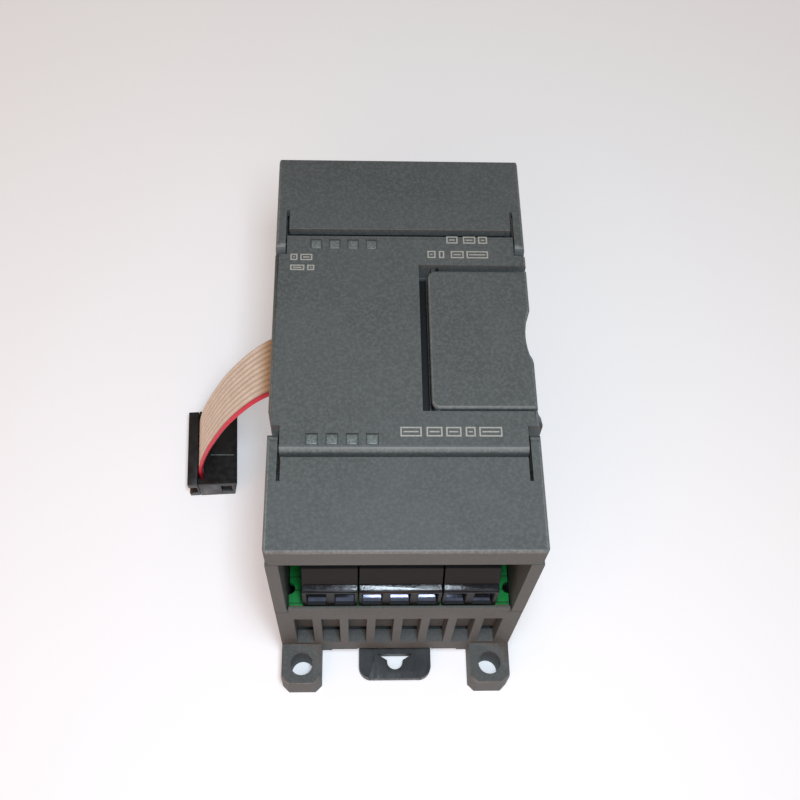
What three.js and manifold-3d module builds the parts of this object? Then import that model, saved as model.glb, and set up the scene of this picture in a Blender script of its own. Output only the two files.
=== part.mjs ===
// Two-channel expansion module for a small programmable controller, lying on its back.
//
// Millimetres. +X is the module's right side, +Y its top end, +Z points out of its front.
// The origin is the middle of the back face, which lies against the panel or the rail.
//
// The case is two moulded shells that meet at SEAM_Z. The board between them carries a row of
// rising-cage screw terminals at each end, under a hinged door. A hinged cover on the right
// closes the socket for the next module, and a ten-way flat cable leaves the left side.

import * as THREE from 'three';
import { mergeVertices } from 'three/addons/utils/BufferGeometryUtils.js';
import Module from 'manifold-3d';

const wasm = await Module();
wasm.setup();

// ---------------------------------------------------------------- driving dimensions

const BODY_WIDTH = 46;
const BODY_HEIGHT = 80;
const BODY_DEPTH = 62;
const SIDE_WALL = 2.2;
const TOUCH_GAP = 0.3; // between two pieces that rest on or fit against each other
const SEAM_Z = 29.4; // where the two shells meet
const FACET_TURN = 20; // sides of a round hole or pin
const SCREW_SIDES = 12; // sides of a terminal screw and its hole
const PAST = 1; // how far a cut runs past the face that it opens, and a join into its neighbour
const JOIN = 0.1; // the same where the neighbour is thin

// Mounting ears, one at each corner of the back shell
const EAR_SIZE = 8;
const EAR_THICKNESS = 7.6;
const EAR_HOLE_RADIUS = 2.25;
const EAR_CORNER = 1.3;

// Channel for a 35 mm top-hat rail
const RAIL_WIDTH = 35;
const RAIL_DEPTH = 7.5;
const RAIL_FLANGE = 1;
const RAIL_CLEARANCE = 0.2;
const HOOK_REACH = 1.6;
const HOOK_HEIGHT = 1.8;
const CHANNEL_FLOOR = 1.8;
const CHANNEL_WALL = 2; // between the channel and the pockets beside it
const SEAT_RELIEF = 0.3; // groove beside the rail's seat, in depth and in clearance

// Rail clip
const CLIP_WIDTH = 14.8;
const CLIP_THICKNESS = 2;
const CLIP_LIFT = 0.5; // how far the clip lies above the back face
const CLIP_TAIL = 5.8; // how far it stands out below the case
const CLIP_CORNER = 1.5;
const CLIP_TRAVEL = 4;
const CLIP_TONGUE = 1.8;
const CLIP_TONGUE_THICKNESS = 0.8;
const CLIP_TONGUE_SETBACK = 4; // from the case's end to the tongues
const CLIP_TONGUE_PLAY = 2.4;
const CLIP_ROOF = 2;
const CLIP_END_PLAY = 1;
const CLIP_NOSE = 1.9;
const CLIP_NOSE_ROOT = 1.4;
const KEYHOLE_WIDTH = 7.3;
const KEYHOLE_NECK = 3.2;
const KEYHOLE_OFFSET = 0.8; // from the case's end to the wide end of the keyhole
const KEYHOLE_SHOULDER = 1.3;

// Vent pockets in both ends of the back shell, each open to the inside through a low slit
const SLOT_COUNT = 8;
const SLOT_WIDTH = 3.5;
const SLOT_PITCH = 5.157;
const SLOT_LOW = 8.9;
const SLOT_HIGH = 25.2;
const SLOT_DEPTH = 2.9;
const SLOT_BACK = 1.2;
const SLIT_HEIGHT = 1.2; // gap between a pocket's floor and the lower edge of its back wall
const SLIT_LAP = 0.25; // how far the floor ends before the wall
const SLIT_DROP = 3;
const PLINTH_HEIGHT = 4.1; // the band below the slots that is set back between the ears
const PLINTH_SETBACK = 0.7;
const BACK_RELIEF = 0.8; // how far the back edge is raised between the ears
const BACK_RELIEF_DEPTH = 5;
const BACK_RELIEF_INSET = 2;

// Boards
const BOARD_THICKNESS = 1.6;
const BOARD_EDGE_GAP = 0.3;
const SILL_THICKNESS = 0.75;
const SILL_RISE = 1.6; // how far the sill stands above the seam
const SILL_BEVEL = 0.4;
const SILL_BEVEL_DROP = 1.3; // how far below the seam the bevel starts
const NOTCH_RADIUS = 1.1;
const NOTCH_FROM_END = 4.7;

// Front panel between the doors
const PANEL_HALF = 22.3;
const PANEL_THICKNESS = 2.2;
const PANEL_ROUND = 1.2;
const EDGE_ROUND = 0.7;
const SHELF_DROP = 6.1; // from the front face down to the shelf under a door's inner edge
const SHELF_THICKNESS = 1.5;
const PARTITION_THICKNESS = 1.4;
const WINDOW_COUNT = 4;
const WINDOW_SIZE = 2.15;
const WINDOW_PITCH = 3.38;
const WINDOW_FROM_LEFT = 7.45; // to the middle of the first window
const WINDOW_Y = 19.95;
const WINDOW_DEPTH = 0.5;

// Terminal doors
const DOOR_PANEL_GAP = 1;
const DOOR_PLATE = 1.8;
const DOOR_SKIRT = 5.8;
const DOOR_WALL = 1.5;
const DOOR_CORNER = 1;
const DOOR_ARM = 1.8;
const DOOR_PIVOT_IN = 2.6; // from a door's inner edge to its hinge axis
const DOOR_PIVOT_DROP = 2.2; // from the front face down to the hinge axis
const DOOR_GAP = 0.3;
const DOOR_SLIT = 0.6;
const DOOR_SLIT_LENGTH = 4.3;
const DOOR_PIN_RADIUS = 0.85;
const PIN_CLEARANCE = 0.1;
const PIN_REACH = 1.4;
const NOTCH_START = 17.5;
const NOTCH_EXTRA_DEPTH = 1.4;
const CHEEK = 2;
const CHEEK_MARGIN = 0.6; // how far a cheek runs past the notch that it backs
const CHEEK_BELOW = 1.4;

// Cover over the socket for the next module
const COVER_WIDTH = 18.2;
const COVER_LOW = -14.1;
const COVER_HIGH = 14.2;
const COVER_THICKNESS = 1.7;
const COVER_CORNER = 1.5;
const COVER_PIVOT_IN = 1.4;
const COVER_PIVOT_DROP = 1.6;
const COVER_PIN_RADIUS = 0.75;
const COVER_BARREL = 1.1;
const COVER_SKIRT = 3.8;
const COVER_SKIRT_WALL = 1.9;
const RECESS_GAP_LEFT = 1.6;
const RECESS_GAP_LOW = 0.6;
const RECESS_GAP_HIGH = 1.1;
const RECESS_DEPTH = 4.2;
const RECESS_FRAME = 1.7;
const RECESS_FLOOR_THICKNESS = 1.5;
const COVER_PIN_PLAY = 0.3; // at each end of the cover's pin
const COVER_PIN_WALL = 0.5;
const SCALLOP_HALF = 5.6;
const SCALLOP_DEPTH = 1.1;
const SCALLOP_Y = 0.4;
const SCALLOP_HEIGHT = 14; // how far down the side the scallop runs
const SCALLOP_OVERRUN = 1.1; // its outline is drawn this much longer, to leave the side cleanly

// Socket for the next module's cable connector, under the cover
const WELL_WALL = 1.2;
const WELL_WIDTH = 12.6; // from the well's left side to the inside of the right wall
const WELL_LOW = -12.2;
const WELL_HIGH = 12.8;
const WELL_DEPTH = 14.8; // from the front face
const CABLE_WAY_LOW = -4.4;
const CABLE_WAY_HIGH = 12.6;
const CABLE_WAY_SILL = 1.3;
const PORT_BOARD_DROP = 17.6; // from the front face
const PORT_BOARD_WIDTH = 13.9;
const PORT_BOARD_MARGIN = 2; // how far the board stands out past the well
const HEADER_FROM_WALL = 6.5; // from the inside of the right wall to the headers' middle
const HEADER_Y = 0.15;
const HEADER_WIDTH = 8.9;
const HEADER_LENGTH = 20.3;
const HEADER_HEIGHT = 9;
const HEADER_SIDE = 1.15; // thickness of its long walls
const HEADER_END = 0.9;
const HEADER_FLOOR = 2;
const HEADER_KEY = 4.5; // width of the polarising slot
const HEADER_KEY_SILL = 3;
const HEADER_PIN = 0.64;
const HEADER_PIN_TALL = 6.6;

// Locating rib on the right side, and its groove on the left
const RIB_RADIUS = 4.28;
const RIB_PROUD = 0.55;
const RIB_Y = -17;
const RIB_CLEARANCE = 0.2;
const RIB_FROM_SEAM = 1.3;
const RIB_FROM_FRONT = 0.6;
const RIB_ROOT = 0.5; // how far the rib reaches into the side wall

// Screw terminals
const POLE_PITCH = 5.08;
const SEGMENT_POLES = [2, 3, 2];
const BLOCK_SETBACK = 1.2; // from the case's end to the blocks' wire face
const BLOCK_LENGTH = 10.3;
const BLOCK_RISE = 12.6;
const LEDGE_RISE = 8.1;
const LEDGE_DEPTH = 1.4;
const LEDGE_CHAMFER = 0.5;
const SLOPE_START = 0.7;
const SLOPE_RISE = 3.8;
const SLOPE_DEPTH = 1.5;
const ENTRY_WIDTH = 3.6;
const ENTRY_LOW = 1.45;
const ENTRY_HIGH = 7.35;
const ENTRY_DEPTH = 5;
const SEGMENT_GAP = 0.3;
const PARTITION_GAP = 1.2; // from the blocks' back to the partition
const CAGE_WIDTH = 4;
const CAGE_HEIGHT = 6;
const CAGE_LENGTH = 5.4;
const CAGE_WALL = 0.7;
const CAGE_LIP = 0.6;
const CAGE_TRAVEL = 2;
const CAGE_CLEARANCE = 0.15;
const CAGE_DEPTH = 7.2; // from the wire face to the screw's axis
const CAGE_BELOW_ENTRY = 0.55;
const CAGE_FRONT = 3.6; // depth of the solid nose over the wire entry, in front of the cage
const CAGE_LIP_PLAY = 0.2;
const CAGE_ROOM_CEILING = 0.6; // least wall between the cage's room and the screw's head
const SCREW_HEAD_RADIUS = 1.75;
const SCREW_HEAD_HEIGHT = 1.8;
const SCREW_RADIUS = 1.2;
const SCREW_LENGTH = 5.2;
const SCREW_CLEARANCE = 0.15;
const SCREW_SLOT = 0.6;
const SCREW_BELOW_TOP = 0.5;

// Parts on the main board: left, right, low and high sides, and height
const CONVERTER = [-18.6, -8.4, -22, -4, 9];
const LEFT_OUTPUT_CHIP = [-4, 2, -20, -12.5, 2.4];
const RIGHT_OUTPUT_CHIP = [6, 12, -20, -12.5, 2.4];
const BUS_CHIP = [-2.5, 5, 16, 23.5, 2.6];
// Cans on the main board: middle in X and Y, radius and height
const INPUT_CAN = [-15, 19, 3.9, 11.5];
const OUTPUT_CAN = [16, -20.5, 3.1, 9.5];
const CAN_SIDES = 24;

// Flat cable and its connector
const RIBBON_WIDTH = 12.7;
const RIBBON_THICKNESS = 0.9;
const CONNECTOR_TURN = 2.96; // degrees about +Z
const CONNECTOR_X = -40.12;
const CONNECTOR_Y = 4.97;
const CONNECTOR_LENGTH = 18;
const CONNECTOR_DEPTH = 10.9;
const CONNECTOR_HEIGHT = 6;
const CONTACT_PITCH = 2.54;
const CONTACT_ROWS = 2;
const CONTACT_COLUMNS = 5;
const CONTACT_HOLE = 0.9;
const CONTACT_HOLE_DEPTH = 5;
const LATCH_RECESS = 0.8;
const LATCH_RECESS_LENGTH = 1.6;
const LATCH_RECESS_EDGE = 1.6;
const CABLE_U = -2.63; // where the cable enters, across the connector from its middle
const CABLE_END_ROOM = 0.8; // beside each edge of the cable
const POST_ROOM = 0.5; // between the cable's room and the posts that close it
const CABLE_SLOT_SIDE = 1;
const CABLE_SLOT_BELOW = 1.3; // below and above the cable's middle where it leaves the case
const CABLE_SLOT_ABOVE = 2.4;
const CABLE_STEPS = 48;
const TURN_START = 0.45; // share of the cable's length where it starts to turn
const TURN_END = 0.95;
const TRANSITION_HALF_WIDTH = 2.6;
const TRANSITION_HALF_LENGTH = 9;
const TRANSITION_HEIGHT = 5.4; // ends just below the cable's first point

// The cable's centre line, chosen by hand: up from the board, out through the left wall and
// down to the table, where it ends inside the connector. It leaves the case at its ninth point.
const RIBBON_ROUTE = [
  [-4, 4.1, 35.4], [-4, 4.1, 38.2], [-4.6, 4.1, 41.4], [-6.5, 4.1, 44], [-9.5, 4.1, 45.9],
  [-13, 4.1, 46.7], [-17, 4.1, 46.7], [-20.5, 4.1, 46.1], [-23, 4.1, 44.9], [-25.3, 4.1, 43.1],
  [-27.2, 4.1, 41.1], [-29.5, 4.1, 38.1], [-32.4, 4.1, 33.6], [-35, 4.15, 28.8],
  [-37.4, 4.2, 23.4], [-39.3, 4.25, 18.7], [-41.2, 4.3, 13], [-42.3, 4.4, 8.3],
  [-42.65, 4.45, 5.4], [-42.75, 4.45, 3], [-42.75, 4.45, 0.8],
];
const CABLE_EXIT = RIBBON_ROUTE[8];

// ---------------------------------------------------------------- derived places

const HALF_WIDTH = BODY_WIDTH / 2;
const HALF_HEIGHT = BODY_HEIGHT / 2;
const INNER_X = HALF_WIDTH - SIDE_WALL;
const INNER_Y = HALF_HEIGHT - SLOT_DEPTH - SLOT_BACK;
const CHANNEL_HALF = RAIL_WIDTH / 2 + RAIL_CLEARANCE;
const CHANNEL_TOP = RAIL_DEPTH + RAIL_CLEARANCE;
const HOOK_TOP = CHANNEL_TOP - RAIL_FLANGE - RAIL_CLEARANCE;
const BOARD_TOP = SEAM_Z;
const BOARD_BOTTOM = BOARD_TOP - BOARD_THICKNESS;
const SHELF_TOP = BODY_DEPTH - SHELF_DROP;
const BLOCK_FACE = HALF_HEIGHT - BLOCK_SETBACK;
const PARTITION_Y = BLOCK_FACE - BLOCK_LENGTH - PARTITION_GAP - PARTITION_THICKNESS / 2;
const DOOR_INNER = PANEL_HALF + DOOR_PANEL_GAP;
const DOOR_BOTTOM = BODY_DEPTH - DOOR_SKIRT;
const DOOR_PIVOT_Y = DOOR_INNER - DOOR_PIVOT_IN;
const DOOR_PIVOT_Z = BODY_DEPTH - DOOR_PIVOT_DROP;
const CHEEK_X = HALF_WIDTH - DOOR_ARM - DOOR_GAP;
const COVER_LEFT = HALF_WIDTH - COVER_WIDTH;
const COVER_PIVOT_X = COVER_LEFT + COVER_PIVOT_IN;
const COVER_PIVOT_Z = BODY_DEPTH - COVER_PIVOT_DROP;
const RECESS_LEFT = COVER_LEFT - RECESS_GAP_LEFT;
const RECESS_LOW = COVER_LOW - RECESS_GAP_LOW;
const RECESS_HIGH = COVER_HIGH + RECESS_GAP_HIGH;
const RECESS_FLOOR = BODY_DEPTH - RECESS_DEPTH;
const WELL_LEFT = INNER_X - WELL_WIDTH;
const WELL_BOTTOM = BODY_DEPTH - WELL_DEPTH;
const PORT_BOARD_Z = BODY_DEPTH - PORT_BOARD_DROP;
const RIB_X = HALF_WIDTH + RIB_PROUD - RIB_RADIUS;
const BLOCK_BOTTOM = BOARD_TOP + TOUCH_GAP;
const BLOCK_TOP = BLOCK_BOTTOM + BLOCK_RISE;
const POLE_COUNT = SEGMENT_POLES.reduce((sum, poles) => sum + poles, 0);
const HEADER_X = INNER_X - HEADER_FROM_WALL;
const WINDOW_FIRST_X = -HALF_WIDTH + WINDOW_FROM_LEFT;

// ---------------------------------------------------------------- shape helpers

// A closed geometry as a solid that can be joined and cut
function solid(geometry) {
  geometry.deleteAttribute('normal');
  geometry.deleteAttribute('uv');
  const merged = mergeVertices(geometry, 1e-5);
  return new wasm.Manifold(new wasm.Mesh({
    numProp: 3,
    vertProperties: new Float32Array(merged.attributes.position.array),
    triVerts: new Uint32Array(merged.index.array),
  }));
}

function box(x0, x1, y0, y1, z0, z1) {
  const geometry = new THREE.BoxGeometry(Math.abs(x1 - x0), Math.abs(y1 - y0), Math.abs(z1 - z0));
  geometry.translate((x0 + x1) / 2, (y0 + y1) / 2, (z0 + z1) / 2);
  return solid(geometry);
}

function outline(points) {
  return new THREE.Shape(points.map(([a, b]) => new THREE.Vector2(a, b)));
}

function extrusion(shape, depth) {
  return new THREE.ExtrudeGeometry(shape, { depth, bevelEnabled: false, curveSegments: 3 });
}

// A shape drawn in Y and Z, pulled along X
function prismX(shape, x0, x1) {
  const geometry = extrusion(shape, x1 - x0);
  geometry.applyMatrix4(new THREE.Matrix4().makeBasis(
    new THREE.Vector3(0, 1, 0), new THREE.Vector3(0, 0, 1), new THREE.Vector3(1, 0, 0)));
  geometry.translate(x0, 0, 0);
  return solid(geometry);
}

// A shape drawn in X and Z, pulled along Y
function prismY(shape, y0, y1) {
  const geometry = extrusion(shape, y1 - y0);
  geometry.applyMatrix4(new THREE.Matrix4().makeBasis(
    new THREE.Vector3(1, 0, 0), new THREE.Vector3(0, 0, 1), new THREE.Vector3(0, -1, 0)));
  geometry.translate(0, y1, 0);
  return solid(geometry);
}

// A shape drawn in X and Y, pulled along Z
function prismZ(shape, z0, z1) {
  const geometry = extrusion(shape, z1 - z0);
  geometry.translate(0, 0, z0);
  return solid(geometry);
}

// A rectangle whose corners are rounded, each by its own radius, from the low left one round
function roundedRect(x0, y0, x1, y1, radii) {
  const [lowLeft, lowRight, highRight, highLeft] = radii;
  const shape = new THREE.Shape();
  shape.moveTo(x0 + lowLeft, y0);
  shape.lineTo(x1 - lowRight, y0);
  if (lowRight) shape.absarc(x1 - lowRight, y0 + lowRight, lowRight, -Math.PI / 2, 0);
  shape.lineTo(x1, y1 - highRight);
  if (highRight) shape.absarc(x1 - highRight, y1 - highRight, highRight, 0, Math.PI / 2);
  shape.lineTo(x0 + highLeft, y1);
  if (highLeft) shape.absarc(x0 + highLeft, y1 - highLeft, highLeft, Math.PI / 2, Math.PI);
  shape.lineTo(x0, y0 + lowLeft);
  if (lowLeft) shape.absarc(x0 + lowLeft, y0 + lowLeft, lowLeft, Math.PI, 1.5 * Math.PI);
  return shape;
}

// A round bar: axis is 'x', 'y' or 'z', (a, b) its place in the other two in alphabetical order
function bar(axis, a, b, radius, from, to, sides = FACET_TURN) {
  const geometry = new THREE.CylinderGeometry(radius, radius, to - from, sides);
  const middle = (from + to) / 2;
  if (axis === 'x') {
    geometry.rotateZ(Math.PI / 2);
    geometry.translate(middle, a, b);
  } else if (axis === 'y') {
    geometry.translate(a, middle, b);
  } else {
    geometry.rotateX(Math.PI / 2);
    geometry.translate(a, b, middle);
  }
  return solid(geometry);
}

function joined(first, ...others) {
  return others.reduce((sum, other) => sum.add(other), first);
}

function cut(first, ...others) {
  return others.reduce((rest, other) => rest.subtract(other), first);
}

// ---------------------------------------------------------------- materials

function plastic(color, roughness) {
  return new THREE.MeshStandardMaterial({ color, roughness, metalness: 0 });
}

const housingPlastic = plastic('#5f6663', 0.6);
const clipPlastic = plastic('#3c4043', 0.55);
const terminalPlastic = plastic('#26282b', 0.35);
const connectorPlastic = plastic('#1c1f22', 0.45);
const chipPlastic = plastic('#202224', 0.5);
const boardResist = plastic('#0f7a35', 0.4);
const cableVinyl = plastic('#c9bba6', 0.5);
const coilPlastic = plastic('#3a3424', 0.5);
const canAluminium = new THREE.MeshStandardMaterial({
  color: '#a9adb1', roughness: 0.35, metalness: 1,
});
const platedSteel = new THREE.MeshStandardMaterial({
  color: '#c4c6c9', roughness: 0.3, metalness: 1,
});
const tinnedBrass = new THREE.MeshStandardMaterial({
  color: '#d9dbe0', roughness: 0.2, metalness: 1,
});

// ---------------------------------------------------------------- the assembly

const module = new THREE.Group();

function addPiece(name, shape, material, parent = module) {
  const { vertProperties, triVerts } = shape.getMesh();
  const geometry = new THREE.BufferGeometry();
  geometry.setAttribute('position', new THREE.BufferAttribute(new Float32Array(vertProperties), 3));
  geometry.setIndex(new THREE.BufferAttribute(new Uint32Array(triVerts), 1));
  geometry.computeVertexNormals();
  const mesh = new THREE.Mesh(geometry, material);
  mesh.name = name;
  parent.add(mesh);
  return mesh;
}

// ---------------------------------------------------------------- back shell

// An ear with a screw hole; sx and sy say which corner of the case it stands at
function ear(sx, sy) {
  const outer = HALF_HEIGHT + EAR_SIZE;
  const inner = HALF_WIDTH - EAR_SIZE;
  return prismZ(outline([
    [sx * inner, sy * (HALF_HEIGHT - PAST)],
    [sx * HALF_WIDTH, sy * (HALF_HEIGHT - PAST)],
    [sx * HALF_WIDTH, sy * (outer - EAR_CORNER)],
    [sx * (HALF_WIDTH - EAR_CORNER), sy * outer],
    [sx * (inner + EAR_CORNER), sy * outer],
    [sx * inner, sy * (outer - EAR_CORNER)],
  ]), 0, EAR_THICKNESS);
}

function earHole(sx, sy) {
  const x = sx * (HALF_WIDTH - EAR_SIZE / 2);
  const y = sy * (HALF_HEIGHT + EAR_SIZE / 2);
  return bar('z', x, y, EAR_HOLE_RADIUS, -PAST, EAR_THICKNESS + PAST);
}

function backShell() {
  const lip = SEAM_Z + SILL_RISE;
  const seat = BOARD_BOTTOM - TOUCH_GAP;
  const lipHalf = INNER_X - TOUCH_GAP;
  let shell = box(-HALF_WIDTH, HALF_WIDTH, -HALF_HEIGHT, HALF_HEIGHT, 0, SEAM_Z);
  for (const sy of [-1, 1]) {
    shell = joined(shell,
      box(-lipHalf, lipHalf, sy * (HALF_HEIGHT - SIDE_WALL), sy * HALF_HEIGHT, SEAM_Z - PAST, lip),
      ear(-1, sy), ear(1, sy));
  }

  // the hollow over the rail channel, the deeper pockets on both sides of it, the board's seat
  const deck = CHANNEL_TOP + CHANNEL_FLOOR;
  const pocketStart = CHANNEL_HALF + CHANNEL_WALL;
  const clipRoof = CLIP_LIFT + CLIP_THICKNESS + TOUCH_GAP + CLIP_ROOF;
  const seatEnd = HALF_HEIGHT - SILL_THICKNESS;
  shell = cut(shell,
    box(-INNER_X, INNER_X, -INNER_Y, INNER_Y, deck, seat + PAST),
    box(-INNER_X, INNER_X, pocketStart, INNER_Y, CHANNEL_FLOOR, deck + PAST),
    box(-INNER_X, INNER_X, -INNER_Y, -pocketStart - CLIP_TRAVEL, clipRoof, deck + PAST),
    box(-INNER_X, INNER_X, -seatEnd, seatEnd, seat, lip + PAST));

  const firstSlot = -SLOT_PITCH * (SLOT_COUNT - 1) / 2;
  const plinthHalf = HALF_WIDTH - EAR_SIZE;
  const bevelFoot = SEAM_Z - SILL_BEVEL_DROP;
  for (const sy of [-1, 1]) {
    for (let i = 0; i < SLOT_COUNT; i += 1) {
      const x0 = firstSlot + i * SLOT_PITCH - SLOT_WIDTH / 2;
      shell = cut(shell,
        box(x0, x0 + SLOT_WIDTH, sy * (HALF_HEIGHT - SLOT_DEPTH), sy * (HALF_HEIGHT + PAST),
          SLOT_LOW, SLOT_HIGH),
        box(x0, x0 + SLOT_WIDTH, sy * (INNER_Y - PAST), sy * (HALF_HEIGHT - SLOT_DEPTH + SLIT_LAP),
          SLOT_LOW - SLIT_DROP, SLOT_LOW + SLIT_HEIGHT));
    }
    // the sill leans inwards above the slots, and the plinth is set back below them
    shell = cut(shell,
      prismX(outline([
        [sy * (HALF_HEIGHT + PAST), bevelFoot], [sy * (HALF_HEIGHT + PAST), lip + TOUCH_GAP],
        [sy * (HALF_HEIGHT - SILL_BEVEL), lip + TOUCH_GAP], [sy * HALF_HEIGHT, bevelFoot],
      ]), -lipHalf, lipHalf),
      box(-plinthHalf, plinthHalf, sy * (HALF_HEIGHT - PLINTH_SETBACK), sy * (HALF_HEIGHT + PAST),
        -PAST, PLINTH_HEIGHT),
      box(-plinthHalf + BACK_RELIEF_INSET, plinthHalf - BACK_RELIEF_INSET,
        sy * (HALF_HEIGHT - BACK_RELIEF_DEPTH), sy * (HALF_HEIGHT + PAST), -PAST, BACK_RELIEF));
  }

  // rail channel, with the fixed hook on its upper side and a groove along each side of the seat
  const seatHalf = CHANNEL_HALF - HOOK_REACH - SEAT_RELIEF;
  const grooveTop = CHANNEL_TOP + SEAT_RELIEF;
  shell = cut(shell, prismX(outline([
    [-CHANNEL_HALF, -PAST], [-CHANNEL_HALF, grooveTop], [-seatHalf, grooveTop],
    [-seatHalf, CHANNEL_TOP], [seatHalf, CHANNEL_TOP], [seatHalf, grooveTop],
    [CHANNEL_HALF, grooveTop], [CHANNEL_HALF, HOOK_TOP], [CHANNEL_HALF - HOOK_REACH, HOOK_TOP],
    [CHANNEL_HALF - HOOK_REACH, HOOK_TOP - HOOK_HEIGHT], [CHANNEL_HALF, -PAST],
  ]), -HALF_WIDTH - PAST, HALF_WIDTH + PAST));

  // guide for the clip: a slot with an undercut on both sides, and room for its nose
  const clipHalf = CLIP_WIDTH / 2 + TOUCH_GAP;
  const clipTop = CLIP_LIFT + CLIP_THICKNESS + TOUCH_GAP;
  const tongueLow = clipTop - CLIP_TONGUE_THICKNESS - 2 * TOUCH_GAP;
  const noseEnd = CHANNEL_HALF + CLIP_TRAVEL + CLIP_END_PLAY;
  shell = cut(shell,
    box(-clipHalf, clipHalf, -HALF_HEIGHT - PAST, -CHANNEL_HALF + PAST, -PAST, clipTop),
    box(-clipHalf - CLIP_TONGUE, clipHalf + CLIP_TONGUE, -HALF_HEIGHT - PAST, -noseEnd,
      tongueLow, clipTop),
    box(-clipHalf, clipHalf, -noseEnd, -CHANNEL_HALF + PAST, -PAST, HOOK_TOP + TOUCH_GAP));
  for (const sx of [-1, 1]) {
    for (const sy of [-1, 1]) {
      shell = cut(shell, earHole(sx, sy));
    }
  }
  return shell;
}

addPiece('base_housing', backShell(), housingPlastic);

// ---------------------------------------------------------------- rail clip

function railClip() {
  const half = CLIP_WIDTH / 2;
  const low = CLIP_LIFT;
  const high = CLIP_LIFT + CLIP_THICKNESS;
  const tail = -HALF_HEIGHT - CLIP_TAIL;
  const noseHook = -CHANNEL_HALF + HOOK_REACH - RAIL_CLEARANCE;
  const noseBack = noseHook - CLIP_NOSE;
  const noseTop = HOOK_TOP - TOUCH_GAP / 2;
  const plate = prismZ(outline([
    [-half, noseBack], [-half, tail + CLIP_CORNER], [-half + CLIP_CORNER, tail],
    [half - CLIP_CORNER, tail], [half, tail + CLIP_CORNER], [half, noseBack],
  ]), low, high);
  const nose = prismX(outline([
    [noseBack, low], [noseHook - CLIP_NOSE_ROOT, low], [noseHook, HOOK_TOP - HOOK_HEIGHT],
    [noseHook, noseTop], [noseBack, noseTop],
  ]), -half, half);
  const tongueHalf = half + CLIP_TONGUE;
  const tongues = box(-tongueHalf, tongueHalf, -HALF_HEIGHT + CLIP_TONGUE_SETBACK,
    -CHANNEL_HALF - CLIP_TRAVEL - CLIP_TONGUE_PLAY, high - CLIP_TONGUE_THICKNESS, high);
  const keyTop = -HALF_HEIGHT - KEYHOLE_OFFSET;
  const shoulder = keyTop - KEYHOLE_SHOULDER;
  const neck = KEYHOLE_NECK / 2;
  const keyhole = joined(
    prismZ(outline([
      [-KEYHOLE_WIDTH / 2, keyTop], [-neck, shoulder], [neck, shoulder], [KEYHOLE_WIDTH / 2, keyTop],
    ]), -PAST, high + PAST),
    box(-neck, neck, shoulder - TOUCH_GAP, shoulder + TOUCH_GAP, -PAST, high + PAST),
    bar('z', 0, shoulder - TOUCH_GAP, neck, -PAST, high + PAST));
  return cut(joined(plate, nose, tongues), keyhole);
}

addPiece('din_clip', railClip(), clipPlastic);

// ---------------------------------------------------------------- front shell

// A profile in Y and Z of the panel between the doors, with its long edges rounded
function panelProfile(bottom) {
  return roundedRect(-PANEL_HALF, bottom, PANEL_HALF, BODY_DEPTH, [0, 0, PANEL_ROUND, PANEL_ROUND]);
}

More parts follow.
